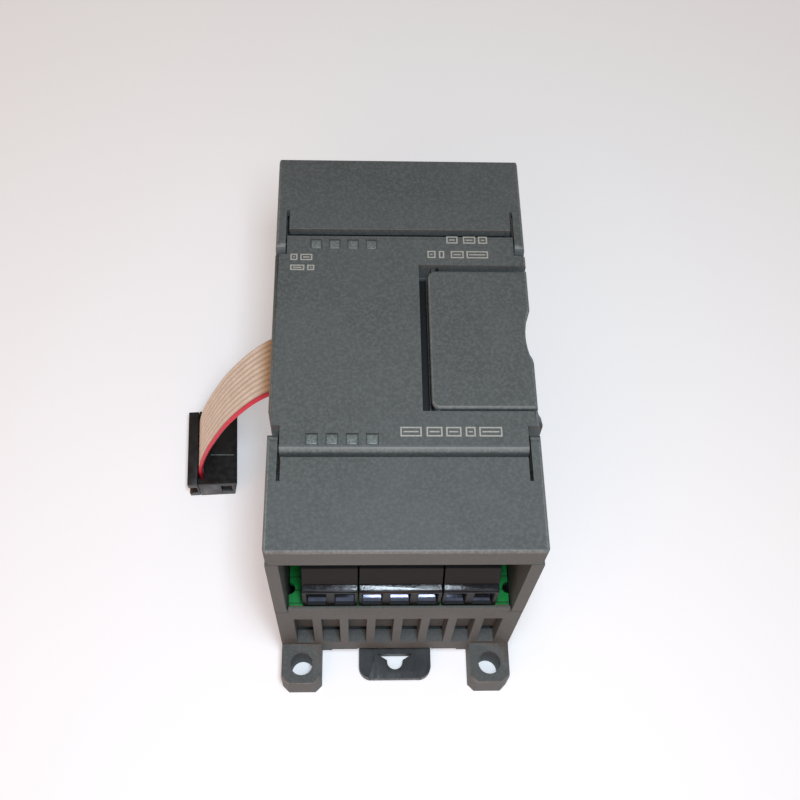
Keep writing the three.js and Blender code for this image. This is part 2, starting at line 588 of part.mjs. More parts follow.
function frontShell() {
  const low = SEAM_Z + TOUCH_GAP;
  const doorSeat = DOOR_BOTTOM - TOUCH_GAP;
  const panelUnder = BODY_DEPTH - PANEL_THICKNESS;
  const partitionIn = PARTITION_Y - PARTITION_THICKNESS / 2;
  const partitionOut = PARTITION_Y + PARTITION_THICKNESS / 2;
  const stepIn = PANEL_HALF - PARTITION_THICKNESS;

  let shell = joined(
    box(-HALF_WIDTH, HALF_WIDTH, -HALF_HEIGHT, HALF_HEIGHT, low, doorSeat),
    prismX(panelProfile(doorSeat - PAST), -HALF_WIDTH, HALF_WIDTH).intersect(prismY(
      roundedRect(-HALF_WIDTH, low, HALF_WIDTH, BODY_DEPTH, [0, 0, EDGE_ROUND, EDGE_ROUND]),
      -PANEL_HALF, PANEL_HALF)));

  // hollows: the electronics room, stepped under the shelves, and the two open wire bays
  shell = cut(shell,
    box(-INNER_X, INNER_X, -partitionIn, partitionIn, low - PAST, SHELF_TOP - SHELF_THICKNESS),
    box(-INNER_X, INNER_X, -stepIn, stepIn, low - PAST, panelUnder));
  for (const sy of [-1, 1]) {
    shell = cut(shell, box(-INNER_X, INNER_X, sy * partitionOut, sy * (HALF_HEIGHT + PAST),
      low - PAST, doorSeat + PAST));
  }

  // cheeks beside the door arms, then the frame and the well of the socket
  const cheekIn = CHEEK_X - CHEEK;
  for (const sx of [-1, 1]) {
    for (const sy of [-1, 1]) {
      shell = joined(shell, box(sx * cheekIn, sx * (INNER_X + JOIN), sy * (NOTCH_START - CHEEK_MARGIN),
        sy * (PANEL_HALF - PANEL_ROUND), doorSeat - CHEEK_BELOW, panelUnder + JOIN));
    }
  }
  shell = joined(shell,
    box(RECESS_LEFT - RECESS_FRAME, INNER_X + JOIN, RECESS_LOW - RECESS_FRAME,
      RECESS_HIGH + RECESS_FRAME, RECESS_FLOOR - RECESS_FLOOR_THICKNESS, panelUnder + JOIN),
    box(WELL_LEFT - WELL_WALL, INNER_X + JOIN, WELL_LOW - WELL_WALL, WELL_HIGH + WELL_WALL,
      WELL_BOTTOM, RECESS_FLOOR - JOIN),
    bar('z', RIB_X, RIB_Y, RIB_RADIUS, low + RIB_FROM_SEAM, BODY_DEPTH - RIB_FROM_FRONT)
      .intersect(box(INNER_X + RIB_ROOT, RIB_X + RIB_RADIUS, RIB_Y - RIB_RADIUS, RIB_Y + RIB_RADIUS,
        low, BODY_DEPTH)));

  shell = cut(shell,
    box(RECESS_LEFT, HALF_WIDTH + PAST, RECESS_LOW, RECESS_HIGH, RECESS_FLOOR, BODY_DEPTH + PAST),
    box(WELL_LEFT, INNER_X - JOIN, WELL_LOW, WELL_HIGH, WELL_BOTTOM - PAST, RECESS_FLOOR + PAST),
    box(INNER_X - PAST, HALF_WIDTH + PAST, CABLE_WAY_LOW, CABLE_WAY_HIGH,
      WELL_BOTTOM + CABLE_WAY_SILL, RECESS_FLOOR + PAST),
    bar('y', COVER_PIVOT_X, COVER_PIVOT_Z, COVER_PIN_RADIUS + PIN_CLEARANCE,
      RECESS_LOW - RECESS_FRAME + COVER_PIN_WALL, RECESS_HIGH + RECESS_FRAME - COVER_PIN_WALL),
    bar('z', -BODY_WIDTH + RIB_X, RIB_Y, RIB_RADIUS + RIB_CLEARANCE, low - PAST,
      BODY_DEPTH + PAST),
    scallop(BODY_DEPTH - SCALLOP_HEIGHT));

  for (const sx of [-1, 1]) {
    for (const sy of [-1, 1]) {
      shell = cut(shell,
        box(sx * CHEEK_X, sx * (HALF_WIDTH + PAST), sy * NOTCH_START, sy * (PANEL_HALF + PAST),
          DOOR_PIVOT_Z - DOOR_PIVOT_DROP - NOTCH_EXTRA_DEPTH, BODY_DEPTH + PAST),
        bar('x', sy * DOOR_PIVOT_Y, DOOR_PIVOT_Z, DOOR_PIN_RADIUS + PIN_CLEARANCE,
          Math.min(sx * (CHEEK_X - PIN_REACH), sx * HALF_WIDTH),
          Math.max(sx * (CHEEK_X - PIN_REACH), sx * HALF_WIDTH)));
    }
  }

  // shallow indicator windows in two rows, and the cable's way out on the left
  for (const sy of [-1, 1]) {
    for (let i = 0; i < WINDOW_COUNT; i += 1) {
      const x = WINDOW_FIRST_X + i * WINDOW_PITCH;
      shell = cut(shell, box(x - WINDOW_SIZE / 2, x + WINDOW_SIZE / 2,
        sy * WINDOW_Y - WINDOW_SIZE / 2, sy * WINDOW_Y + WINDOW_SIZE / 2,
        BODY_DEPTH - WINDOW_DEPTH, BODY_DEPTH + PAST));
    }
  }
  const cableHalf = RIBBON_WIDTH / 2 + CABLE_SLOT_SIDE;
  return cut(shell, box(-HALF_WIDTH - PAST, -INNER_X + PAST, CABLE_EXIT[1] - cableHalf,
    CABLE_EXIT[1] + cableHalf, CABLE_EXIT[2] - CABLE_SLOT_BELOW, CABLE_EXIT[2] + CABLE_SLOT_ABOVE));
}

// The finger scallop in the right edge, from height z upwards
function scallop(z) {
  const radius = (SCALLOP_HALF ** 2 + SCALLOP_DEPTH ** 2) / (2 * SCALLOP_DEPTH);
  const middle = HALF_WIDTH - SCALLOP_DEPTH + radius;
  const steps = 10;
  const points = [];
  for (let i = 0; i <= steps; i += 1) {
    const y = SCALLOP_HALF * SCALLOP_OVERRUN * (2 * i / steps - 1);
    points.push([middle - Math.sqrt(radius ** 2 - y ** 2), SCALLOP_Y + y]);
  }
  return prismZ(outline(points), z, BODY_DEPTH + PAST);
}

addPiece('front_housing', frontShell(), housingPlastic);

// ---------------------------------------------------------------- terminal doors

// sy is 1 for the top door and -1 for the bottom one
function door(sy) {
  const yIn = sy * DOOR_INNER;
  const yOut = sy * HALF_HEIGHT;
  const yLow = Math.min(yIn, yOut);
  const yHigh = Math.max(yIn, yOut);
  const outerRadii = sy > 0 ? [0, 0, DOOR_CORNER, DOOR_CORNER] : [DOOR_CORNER, DOOR_CORNER, 0, 0];
  const endRadii = sy > 0 ? [0, 0, EDGE_ROUND, 0] : [0, 0, 0, EDGE_ROUND];
  const hull = prismZ(roundedRect(-HALF_WIDTH, yLow, HALF_WIDTH, yHigh, outerRadii),
    DOOR_BOTTOM, BODY_DEPTH)
    .intersect(prismY(roundedRect(-HALF_WIDTH, DOOR_BOTTOM, HALF_WIDTH, BODY_DEPTH,
      [0, 0, EDGE_ROUND, EDGE_ROUND]), yLow, yHigh))
    .intersect(prismX(roundedRect(yLow, DOOR_BOTTOM, yHigh, BODY_DEPTH, endRadii),
      -HALF_WIDTH, HALF_WIDTH));
  let shape = cut(hull, box(-HALF_WIDTH + DOOR_WALL, HALF_WIDTH - DOOR_WALL,
    sy * (DOOR_INNER - PAST), sy * (HALF_HEIGHT - DOOR_WALL),
    DOOR_BOTTOM - PAST, BODY_DEPTH - DOOR_PLATE));

  // arms with round ends about the hinge axis, and the pins on their inner sides
  for (const sx of [-1, 1]) {
    const armIn = sx * (HALF_WIDTH - DOOR_ARM);
    const armOut = sx * HALF_WIDTH;
    const from = Math.min(armIn, armOut);
    const to = Math.max(armIn, armOut);
    const armEdge = sx > 0 ? [0, 0, EDGE_ROUND, 0] : [0, 0, 0, EDGE_ROUND];
    const arm = joined(
      box(from, to, sy * DOOR_PIVOT_Y, sy * (DOOR_INNER + PAST),
        DOOR_PIVOT_Z - DOOR_PIVOT_DROP, BODY_DEPTH),
      bar('x', sy * DOOR_PIVOT_Y, DOOR_PIVOT_Z, DOOR_PIVOT_DROP, from, to))
      .intersect(prismY(roundedRect(from, DOOR_BOTTOM, to, BODY_DEPTH, armEdge),
        Math.min(sy * DOOR_INNER, 0) - HALF_HEIGHT, Math.max(sy * DOOR_INNER, 0) + HALF_HEIGHT));
    const pinEnds = [armIn + sx * JOIN, sx * (CHEEK_X - PIN_REACH + TOUCH_GAP)];
    shape = joined(shape, arm,
      bar('x', sy * DOOR_PIVOT_Y, DOOR_PIVOT_Z, DOOR_PIN_RADIUS,
        Math.min(...pinEnds), Math.max(...pinEnds)));
    // the slit that frees each arm from the plate
    shape = cut(shape, box(armIn - sx * DOOR_SLIT, armIn, sy * (DOOR_INNER - PAST),
      sy * (DOOR_INNER + DOOR_SLIT_LENGTH), DOOR_BOTTOM - PAST, BODY_DEPTH + PAST));
  }
  return shape;
}

addPiece('top_door', door(1), housingPlastic);
addPiece('bottom_door', door(-1), housingPlastic);

// ---------------------------------------------------------------- socket cover

function socketCover() {
  const under = BODY_DEPTH - COVER_THICKNESS;
  const plate = prismZ(roundedRect(COVER_LEFT, COVER_LOW, HALF_WIDTH, COVER_HIGH,
    [COVER_CORNER, 0, 0, COVER_CORNER]), under, BODY_DEPTH);
  const skirt = box(HALF_WIDTH - COVER_SKIRT_WALL, HALF_WIDTH, COVER_LOW, COVER_HIGH,
    BODY_DEPTH - COVER_SKIRT, BODY_DEPTH);
  const edge = prismY(roundedRect(COVER_LEFT, BODY_DEPTH - COVER_SKIRT, HALF_WIDTH, BODY_DEPTH,
    [0, 0, EDGE_ROUND, 0]), COVER_LOW, COVER_HIGH);
  const barrel = bar('y', COVER_PIVOT_X, COVER_PIVOT_Z, COVER_BARREL,
    COVER_LOW + COVER_CORNER, COVER_HIGH - COVER_CORNER);
  const pin = bar('y', COVER_PIVOT_X, COVER_PIVOT_Z, COVER_PIN_RADIUS,
    RECESS_LOW - RECESS_FRAME + COVER_PIN_WALL + COVER_PIN_PLAY,
    RECESS_HIGH + RECESS_FRAME - COVER_PIN_WALL - COVER_PIN_PLAY);
  // the skirt is thicker than the scallop is deep, so that the scallop leaves a wall behind it
  return joined(cut(joined(plate, skirt).intersect(edge), scallop(BODY_DEPTH - COVER_SKIRT - PAST)),
    barrel, pin);
}

addPiece('port_cover', socketCover(), housingPlastic);

// ---------------------------------------------------------------- boards

function mainBoard() {
  const halfX = INNER_X - BOARD_EDGE_GAP;
  const halfY = HALF_HEIGHT - SILL_THICKNESS - BOARD_EDGE_GAP;
  let board = box(-halfX, halfX, -halfY, halfY, BOARD_BOTTOM, BOARD_TOP);
  for (const sx of [-1, 1]) {
    for (const sy of [-1, 1]) {
      board = cut(board, bar('z', sx * halfX, sy * (HALF_HEIGHT - NOTCH_FROM_END), NOTCH_RADIUS,
        BOARD_BOTTOM - PAST, BOARD_TOP + PAST));
    }
  }
  return board;
}

addPiece('main_board', mainBoard(), boardResist);
addPiece('port_board', box(INNER_X - BOARD_EDGE_GAP - PORT_BOARD_WIDTH, INNER_X - BOARD_EDGE_GAP,
  WELL_LOW - PORT_BOARD_MARGIN, WELL_HIGH + PORT_BOARD_MARGIN,
  PORT_BOARD_Z, PORT_BOARD_Z + BOARD_THICKNESS), boardResist);

// The pins that carry the upper board, in one moulded strip
function stackingHeader() {
  const low = BOARD_TOP + TOUCH_GAP;
  const high = PORT_BOARD_Z - TOUCH_GAP;
  const length = CONTACT_PITCH * CONTACT_COLUMNS;
  const width = CONTACT_PITCH * CONTACT_ROWS;
  let header = joined(
    box(HEADER_X - width / 2, HEADER_X + width / 2, HEADER_Y - length / 2, HEADER_Y + length / 2,
      low, low + CONTACT_PITCH),
    box(HEADER_X - width / 2, HEADER_X + width / 2, HEADER_Y - length / 2, HEADER_Y + length / 2,
      high - CONTACT_PITCH, high));
  for (const [x, y] of contactGrid(HEADER_X, HEADER_Y)) {
    header = joined(header, headerPin(x, y, low + PAST, high - PAST));
  }
  return header;
}

function headerPin(x, y, low, high) {
  const half = HEADER_PIN / 2;
  return box(x - half, x + half, y - half, y + half, low, high);
}

// Centres of a two by five grid of contacts
function contactGrid(x, y) {
  const places = [];
  for (let column = 0; column < CONTACT_COLUMNS; column += 1) {
    for (let row = 0; row < CONTACT_ROWS; row += 1) {
      places.push([
        x + (row - (CONTACT_ROWS - 1) / 2) * CONTACT_PITCH,
        y + (column - (CONTACT_COLUMNS - 1) / 2) * CONTACT_PITCH,
      ]);
    }
  }
  return places;
}

addPiece('stacking_header', stackingHeader(), connectorPlastic);

// Shrouded socket that takes the next module's cable connector
function portHeader() {
  const low = PORT_BOARD_Z + BOARD_THICKNESS + TOUCH_GAP;
  const high = low + HEADER_HEIGHT;
  const halfX = HEADER_WIDTH / 2;
  const halfY = HEADER_LENGTH / 2;
  const roomX = halfX - HEADER_SIDE;
  const roomY = halfY - HEADER_END;
  let header = cut(
    box(HEADER_X - halfX, HEADER_X + halfX, HEADER_Y - halfY, HEADER_Y + halfY, low, high),
    box(HEADER_X - roomX, HEADER_X + roomX, HEADER_Y - roomY, HEADER_Y + roomY,
      low + HEADER_FLOOR, high + PAST),
    box(HEADER_X - halfX - PAST, HEADER_X - roomX + TOUCH_GAP, HEADER_Y - HEADER_KEY / 2,
      HEADER_Y + HEADER_KEY / 2, low + HEADER_KEY_SILL, high + PAST));
  for (const [x, y] of contactGrid(HEADER_X, HEADER_Y)) {
    header = joined(header, headerPin(x, y, low + PAST, low + HEADER_PIN_TALL));
  }
  return header;
}

addPiece('port_header', portHeader(), connectorPlastic);

// Two-piece transition that holds the cable's inner end on the board
const [rootX, rootY] = RIBBON_ROUTE[0];
addPiece('cable_transition', box(rootX - TRANSITION_HALF_WIDTH, rootX + TRANSITION_HALF_WIDTH,
  rootY - TRANSITION_HALF_LENGTH, rootY + TRANSITION_HALF_LENGTH,
  BLOCK_BOTTOM, BLOCK_BOTTOM + TRANSITION_HEIGHT), connectorPlastic);

// ---------------------------------------------------------------- parts on the board

function chip(name, [x0, x1, y0, y1, height], material) {
  addPiece(name, box(x0, x1, y0, y1, BLOCK_BOTTOM, BLOCK_BOTTOM + height), material);
}

function can(name, [x, y, radius, height]) {
  addPiece(name, bar('z', x, y, radius, BLOCK_BOTTOM, BLOCK_BOTTOM + height, CAN_SIDES),
    canAluminium);
}

chip('dc_converter', CONVERTER, coilPlastic);
chip('output_chip_left', LEFT_OUTPUT_CHIP, chipPlastic);
chip('output_chip_right', RIGHT_OUTPUT_CHIP, chipPlastic);
chip('bus_chip', BUS_CHIP, chipPlastic);
can('input_capacitor', INPUT_CAN);
can('output_capacitor', OUTPUT_CAN);

// ---------------------------------------------------------------- screw terminals

// Profile of a block in depth (0 at its wire face, growing inwards) and height
function blockProfile(sy) {
  const slopeFoot = LEDGE_RISE + SLOPE_START;
  const points = [
    [0, 0], [0, LEDGE_RISE - LEDGE_CHAMFER], [LEDGE_CHAMFER, LEDGE_RISE], [LEDGE_DEPTH, LEDGE_RISE],
    [LEDGE_DEPTH, slopeFoot], [LEDGE_DEPTH + SLOPE_DEPTH, slopeFoot + SLOPE_RISE],
    [BLOCK_LENGTH, slopeFoot + SLOPE_RISE], [BLOCK_LENGTH, 0],
  ];
  return outline(points.map(([depth, rise]) => [sy * (BLOCK_FACE - depth), BLOCK_BOTTOM + rise]));
}

const CAGE_FLOOR = BLOCK_BOTTOM + ENTRY_LOW - CAGE_BELOW_ENTRY;
const CAGE_ROOF = CAGE_FLOOR + CAGE_HEIGHT;
const SCREW_TOP = BLOCK_TOP - SCREW_BELOW_TOP;

function poleX(index) {
  return (index - (POLE_COUNT - 1) / 2) * POLE_PITCH;
}

function terminalBlock(sy, firstPole, poles) {
  const x0 = poleX(firstPole) - POLE_PITCH / 2 + (firstPole ? SEGMENT_GAP / 2 : 0);
  const lastPole = firstPole + poles - 1;
  const x1 = poleX(lastPole) + POLE_PITCH / 2 - (lastPole < POLE_COUNT - 1 ? SEGMENT_GAP / 2 : 0);
  let block = prismX(blockProfile(sy), x0, x1);
  const screwY = sy * (BLOCK_FACE - CAGE_DEPTH);
  const roomHalf = CAGE_WIDTH / 2 + CAGE_CLEARANCE;
  const roomBack = CAGE_DEPTH + CAGE_LENGTH / 2 + CAGE_CLEARANCE;
  const roomFloor = CAGE_FLOOR - CAGE_CLEARANCE;
  const roomTop = CAGE_ROOF + CAGE_TRAVEL + TOUCH_GAP;
  const headSeat = SCREW_TOP - SCREW_HEAD_HEIGHT - SCREW_CLEARANCE;
  for (let i = firstPole; i <= lastPole; i += 1) {
    const x = poleX(i);
    block = cut(block,
      // wire entry, cage room, screw hole and head well
      box(x - ENTRY_WIDTH / 2, x + ENTRY_WIDTH / 2, sy * (BLOCK_FACE + PAST),
        sy * (BLOCK_FACE - ENTRY_DEPTH), roomFloor, BLOCK_BOTTOM + ENTRY_HIGH),
      box(x - roomHalf, x + roomHalf, sy * (BLOCK_FACE - CAGE_FRONT), sy * (BLOCK_FACE - roomBack),
        roomFloor, Math.min(roomTop, headSeat - CAGE_ROOM_CEILING)),
      bar('z', x, screwY, SCREW_RADIUS + SCREW_CLEARANCE, CAGE_ROOF, BLOCK_TOP + PAST,
        SCREW_SIDES),
      bar('z', x, screwY, SCREW_HEAD_RADIUS + SCREW_CLEARANCE, headSeat, BLOCK_TOP + PAST,
        SCREW_SIDES));
  }
  return block;
}

// Cage that the screw draws up: a square loop with a lip under the wire entry
function clampCage() {
  const half = CAGE_WIDTH / 2;
  const halfLength = CAGE_LENGTH / 2;
  const bore = SCREW_RADIUS + SCREW_CLEARANCE;
  const lipReach = CAGE_DEPTH - CAGE_LIP;
  const lipHalf = ENTRY_WIDTH / 2 - CAGE_LIP_PLAY;
  return cut(
    joined(
      box(-half, half, -halfLength, halfLength, 0, CAGE_HEIGHT),
      box(-lipHalf, lipHalf, -lipReach, 0, 0, CAGE_WALL)),
    box(-half + CAGE_WALL, half - CAGE_WALL, -halfLength - PAST, halfLength + PAST,
      CAGE_WALL, CAGE_HEIGHT - CAGE_WALL),
    bar('z', 0, 0, bore, CAGE_HEIGHT - CAGE_WALL - PAST, CAGE_HEIGHT + PAST, SCREW_SIDES));
}

// Slotted screw, its head's top at z = 0
function clampScrew() {
  return cut(
    joined(
      bar('z', 0, 0, SCREW_HEAD_RADIUS, -SCREW_HEAD_HEIGHT, 0, SCREW_SIDES),
      bar('z', 0, 0, SCREW_RADIUS, -SCREW_HEAD_HEIGHT - SCREW_LENGTH,
        -SCREW_HEAD_HEIGHT + SCREW_BELOW_TOP, SCREW_SIDES)),
    box(-SCREW_HEAD_RADIUS - PAST, SCREW_HEAD_RADIUS + PAST, -SCREW_SLOT / 2, SCREW_SLOT / 2,
      -SCREW_HEAD_HEIGHT / 2, PAST));
}

const cageShape = clampCage();
const screwShape = clampScrew();
const segmentNames = ['left', 'middle', 'right'];

for (const [end, sy] of [['top', 1], ['bottom', -1]]) {
  let firstPole = 0;
  SEGMENT_POLES.forEach((poles, segment) => {
    addPiece(`${end}_terminal_block_${segmentNames[segment]}`, terminalBlock(sy, firstPole, poles),
      terminalPlastic);
    firstPole += poles;
  });
  for (let i = 0; i < POLE_COUNT; i += 1) {
    const y = sy * (BLOCK_FACE - CAGE_DEPTH);
    const cage = addPiece(`${end}_clamp_${i + 1}`, cageShape, tinnedBrass);
    cage.position.set(poleX(i), y, CAGE_FLOOR);
    // the lip points to the wire entry, which is outwards at both ends
    if (sy > 0) cage.rotation.z = Math.PI;
    const screw = addPiece(`${end}_screw_${i + 1}`, screwShape, platedSteel);
    screw.position.set(poleX(i), y, SCREW_TOP);
  }
}

// ---------------------------------------------------------------- flat cable and connector

// A long thin box whose cross sections are moved onto the route; its width turns from +Y at the
// case to the connector's own direction at the far end
function ribbon() {
  const route = new THREE.CatmullRomCurve3(RIBBON_ROUTE.map((p) => new THREE.Vector3(...p)));
  const geometry = new THREE.BoxGeometry(1, RIBBON_WIDTH, RIBBON_THICKNESS, CABLE_STEPS, 1, 1);
  const position = geometry.attributes.position;
  const place = new THREE.Vector3();
  for (let i = 0; i < position.count; i += 1) {
    const along = Math.min(1, Math.max(0, position.getX(i) + 0.5));
    const turn = THREE.MathUtils.degToRad(CONNECTOR_TURN)
      * THREE.MathUtils.smoothstep(along, TURN_START, TURN_END);
    const across = new THREE.Vector3(-Math.sin(turn), Math.cos(turn), 0);
    const tangent = route.getTangentAt(along);
    const normal = new THREE.Vector3().crossVectors(tangent, across).normalize();
    place.copy(route.getPointAt(along))
      .addScaledVector(across, position.getY(i))
      .addScaledVector(normal, position.getZ(i));
    position.setXYZ(i, place.x, place.y, place.z);
  }
  return solid(geometry);
}

addPiece('ribbon_cable', ribbon(), cableVinyl);

// The connector lies on its side, its contacts facing +X; u runs across it and v along it
const connector = new THREE.Group();
connector.position.set(CONNECTOR_X, CONNECTOR_Y, 0);
connector.rotation.z = THREE.MathUtils.degToRad(CONNECTOR_TURN);
module.add(connector);

const CABLE_ROOM = RIBBON_THICKNESS / 2 + TOUCH_GAP;
const CABLE_HALF_V = RIBBON_WIDTH / 2 + CABLE_END_ROOM;

function connectorCover() {
  const low = -CONNECTOR_DEPTH / 2;
  const half = CONNECTOR_LENGTH / 2;
  return cut(
    box(low, CABLE_U - CABLE_ROOM, -half, half, 0, CONNECTOR_HEIGHT),
    box(low - PAST, low + LATCH_RECESS, -half - PAST, -half + LATCH_RECESS_LENGTH,
      LATCH_RECESS_EDGE, CONNECTOR_HEIGHT - LATCH_RECESS_EDGE),
    box(low - PAST, low + LATCH_RECESS, half - LATCH_RECESS_LENGTH, half + PAST,
      LATCH_RECESS_EDGE, CONNECTOR_HEIGHT - LATCH_RECESS_EDGE));
}

function connectorBody() {
  const high = CONNECTOR_DEPTH / 2;
  const half = CONNECTOR_LENGTH / 2;
  const face = CABLE_U + CABLE_ROOM;
  const step = CABLE_U - CABLE_ROOM + TOUCH_GAP;
  const hole = CONTACT_HOLE / 2;
  let body = joined(
    box(face, high, -half, half, 0, CONNECTOR_HEIGHT),
    box(step, face + PAST, -half, -CABLE_HALF_V - POST_ROOM, 0, CONNECTOR_HEIGHT),
    box(step, face + PAST, CABLE_HALF_V + POST_ROOM, half, 0, CONNECTOR_HEIGHT));
  for (const [z, v] of contactGrid(CONNECTOR_HEIGHT / 2, 0)) {
    body = cut(body, box(high - CONTACT_HOLE_DEPTH, high + PAST, v - hole, v + hole,
      z - hole, z + hole));
  }
  return body;
}

addPiece('connector_cover', connectorCover(), connectorPlastic, connector);
addPiece('connector_body', connectorBody(), connectorPlastic, connector);

export default module;
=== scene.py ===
"""Two-channel expansion module of a small programmable controller, lying on its back.

The case is grey moulded polycarbonate with hinged terminal doors at both ends, a hinged cover over
the socket for the next module, and a ten-way flat cable that ends in a crimped connector.
"""

import math

import bmesh
import bpy
from mathutils import Euler, Matrix, Vector


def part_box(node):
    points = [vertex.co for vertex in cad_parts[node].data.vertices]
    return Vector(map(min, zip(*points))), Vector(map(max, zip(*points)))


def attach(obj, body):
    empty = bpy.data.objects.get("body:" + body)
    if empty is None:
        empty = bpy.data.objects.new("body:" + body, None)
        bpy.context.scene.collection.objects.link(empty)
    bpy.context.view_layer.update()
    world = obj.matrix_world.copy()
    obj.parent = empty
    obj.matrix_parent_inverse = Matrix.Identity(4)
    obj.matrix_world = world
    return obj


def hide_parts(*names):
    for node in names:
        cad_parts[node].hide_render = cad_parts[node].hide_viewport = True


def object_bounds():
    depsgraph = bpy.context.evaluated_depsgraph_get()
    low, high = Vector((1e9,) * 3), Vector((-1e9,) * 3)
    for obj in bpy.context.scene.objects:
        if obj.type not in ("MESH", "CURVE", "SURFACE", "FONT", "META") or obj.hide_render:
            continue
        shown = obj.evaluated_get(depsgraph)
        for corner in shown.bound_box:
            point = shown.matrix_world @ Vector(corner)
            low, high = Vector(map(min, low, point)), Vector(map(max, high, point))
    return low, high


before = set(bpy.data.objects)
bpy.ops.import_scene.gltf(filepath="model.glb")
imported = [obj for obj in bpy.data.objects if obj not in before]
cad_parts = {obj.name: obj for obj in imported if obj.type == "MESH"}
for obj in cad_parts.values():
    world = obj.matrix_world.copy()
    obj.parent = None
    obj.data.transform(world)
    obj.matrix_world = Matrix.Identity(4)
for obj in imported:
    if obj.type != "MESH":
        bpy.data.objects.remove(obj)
cad_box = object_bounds()

MM = 0.001
SAME = 0.05 * MM  # places closer than this count as the same
POLES = 7
ENDS = (("top", 1), ("bottom", -1))


# ---------------------------------------------------------------- camera

CAMERA_PLACE = Vector((-8.05, -96.90, 221.74)) * MM
CAMERA_TURN = (27.836, -2.142, -0.961)  # degrees
CAMERA_LENS = 47.73  # on a 36 mm sensor


def place_camera():
    """The view from above the lower end, a little left of the middle."""
    data = bpy.data.cameras.new("camera")
    data.lens = CAMERA_LENS
    data.sensor_width = 36
    data.clip_start = 0.01
    camera = bpy.data.objects.new("camera", data)
    camera.location = CAMERA_PLACE
    camera.rotation_euler = Euler([math.radians(a) for a in CAMERA_TURN])
    bpy.context.scene.collection.objects.link(camera)
    bpy.context.scene.camera = camera


place_camera()


# ---------------------------------------------------------------- mesh work

MERGE_WITHIN = 0.002 * MM
FLAT_WITHIN = math.radians(0.5)


def activate(piece):
    """Makes the piece the only selected object."""
    bpy.ops.object.select_all(action="DESELECT")
    piece.select_set(True)
    bpy.context.view_layer.objects.active = piece


def edit(piece, kind="FACE"):
    """Opens the piece in edit mode with nothing selected."""
    activate(piece)
    bpy.ops.object.mode_set(mode="EDIT")
    bpy.ops.mesh.select_mode(type=kind)
    bpy.ops.mesh.select_all(action="DESELECT")


def done():
    """Closes edit mode."""
    bpy.ops.object.mode_set(mode="OBJECT")


def pick_edges(piece, test):
    """Selects the edges that pass the test, in edit mode."""
    mesh = bmesh.from_edit_mesh(piece.data)
    bpy.ops.mesh.select_all(action="DESELECT")
    for edge in mesh.edges:
        if test(edge):
            edge.select_set(True)
    bmesh.update_edit_mesh(piece.data)


def is_corner(edge, angle=35, shortest=0.9 * MM):
    """True for an outward corner between two flat areas that is long enough to round."""
    if len(edge.link_faces) != 2 or edge.calc_length() < shortest:
        return False
    return edge.calc_face_angle_signed(0) > math.radians(angle)


def round_corners(piece, width, segments=2, test=is_corner, clamp=True):
    """Rounds the picked edges by a width in metres."""
    edit(piece, "EDGE")
    pick_edges(piece, test)
    bpy.ops.mesh.bevel(offset=width, offset_type="OFFSET", segments=segments, profile=0.5,
                       clamp_overlap=clamp, affect="EDGES")
    done()


def shade(piece, angle=40):
    """Smooth shading across everything flatter than the angle in degrees."""
    activate(piece)
    bpy.ops.object.shade_smooth_by_angle(angle=math.radians(angle))


def flatten(piece):
    """Keeps the large flat faces evenly lit beside rounded edges."""
    activate(piece)
    bpy.ops.object.modifier_add(type="WEIGHTED_NORMAL")
    modifier = piece.modifiers[-1]
    modifier.keep_sharp = True
    bpy.ops.object.modifier_apply(modifier=modifier.name)


def block(name, low, high):
    """A cuboid between two corners in metres."""
    low, high = Vector(low), Vector(high)
    bpy.ops.object.select_all(action="DESELECT")
    bpy.ops.mesh.primitive_cube_add(size=1, location=(low + high) / 2, scale=high - low)
    piece = bpy.context.object
    piece.name = name
    bpy.ops.object.transform_apply(location=True, rotation=True, scale=True)
    return piece


def disc(name, centre, radius, depth, sides=32):
    """An upright round bar about its centre."""
    bpy.ops.object.select_all(action="DESELECT")
    bpy.ops.mesh.primitive_cylinder_add(vertices=sides, radius=radius, depth=depth,
                                        location=centre)
    piece = bpy.context.object
    piece.name = name
    bpy.ops.object.transform_apply(location=True, rotation=True, scale=True)
    return piece


def merged_copy(node, name):
    """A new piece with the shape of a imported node, its loose triangles merged into flat areas."""
    piece = bpy.data.objects.new(name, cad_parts[node].data.copy())
    bpy.context.scene.collection.objects.link(piece)
    edit(piece, "VERT")
    bpy.ops.mesh.select_all(action="SELECT")
    bpy.ops.mesh.remove_doubles(threshold=MERGE_WITHIN)
    bpy.ops.mesh.dissolve_limited(angle_limit=FLAT_WITHIN)
    done()
    return piece


def cut_by(piece, *tools):
    """Takes the tools out of the piece and removes them."""
    for tool in tools:
        activate(piece)
        bpy.ops.object.modifier_add(type="BOOLEAN")
        modifier = piece.modifiers[-1]
        modifier.operation = "DIFFERENCE"
        modifier.solver = "EXACT"
        modifier.object = tool
        bpy.ops.object.modifier_apply(modifier=modifier.name)
        bpy.data.objects.remove(tool)


def join(name, pieces):
    """Several pieces as one object."""
    bpy.ops.object.select_all(action="DESELECT")
    for piece in pieces:
        piece.select_set(True)
    bpy.context.view_layer.objects.active = pieces[0]
    if len(pieces) > 1:
        bpy.ops.object.join()
    pieces[0].name = name
    return pieces[0]


def moved(piece, matrix):
    """A copy of the piece with its own mesh, moved by a matrix."""
    copy = bpy.data.objects.new(piece.name, piece.data.copy())
    copy.data.transform(matrix)
    bpy.context.scene.collection.objects.link(copy)
    return copy


def at(piece, test, index):
    """Gives a material slot to the faces whose centre and normal pass the test."""
    for face in piece.data.polygons:
        if test(face.center, face.normal):
            face.material_index = index


def hand_over(piece, body, slot, *materials, replaces=()):
    """Gives a finished piece its materials, its body and the nodes it stands for."""
    piece.data.materials.clear()
    for material in materials:
        piece.data.materials.append(material)
    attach(piece, body)
    if replaces:
        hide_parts(*replaces)
    return piece


# ---------------------------------------------------------------- materials

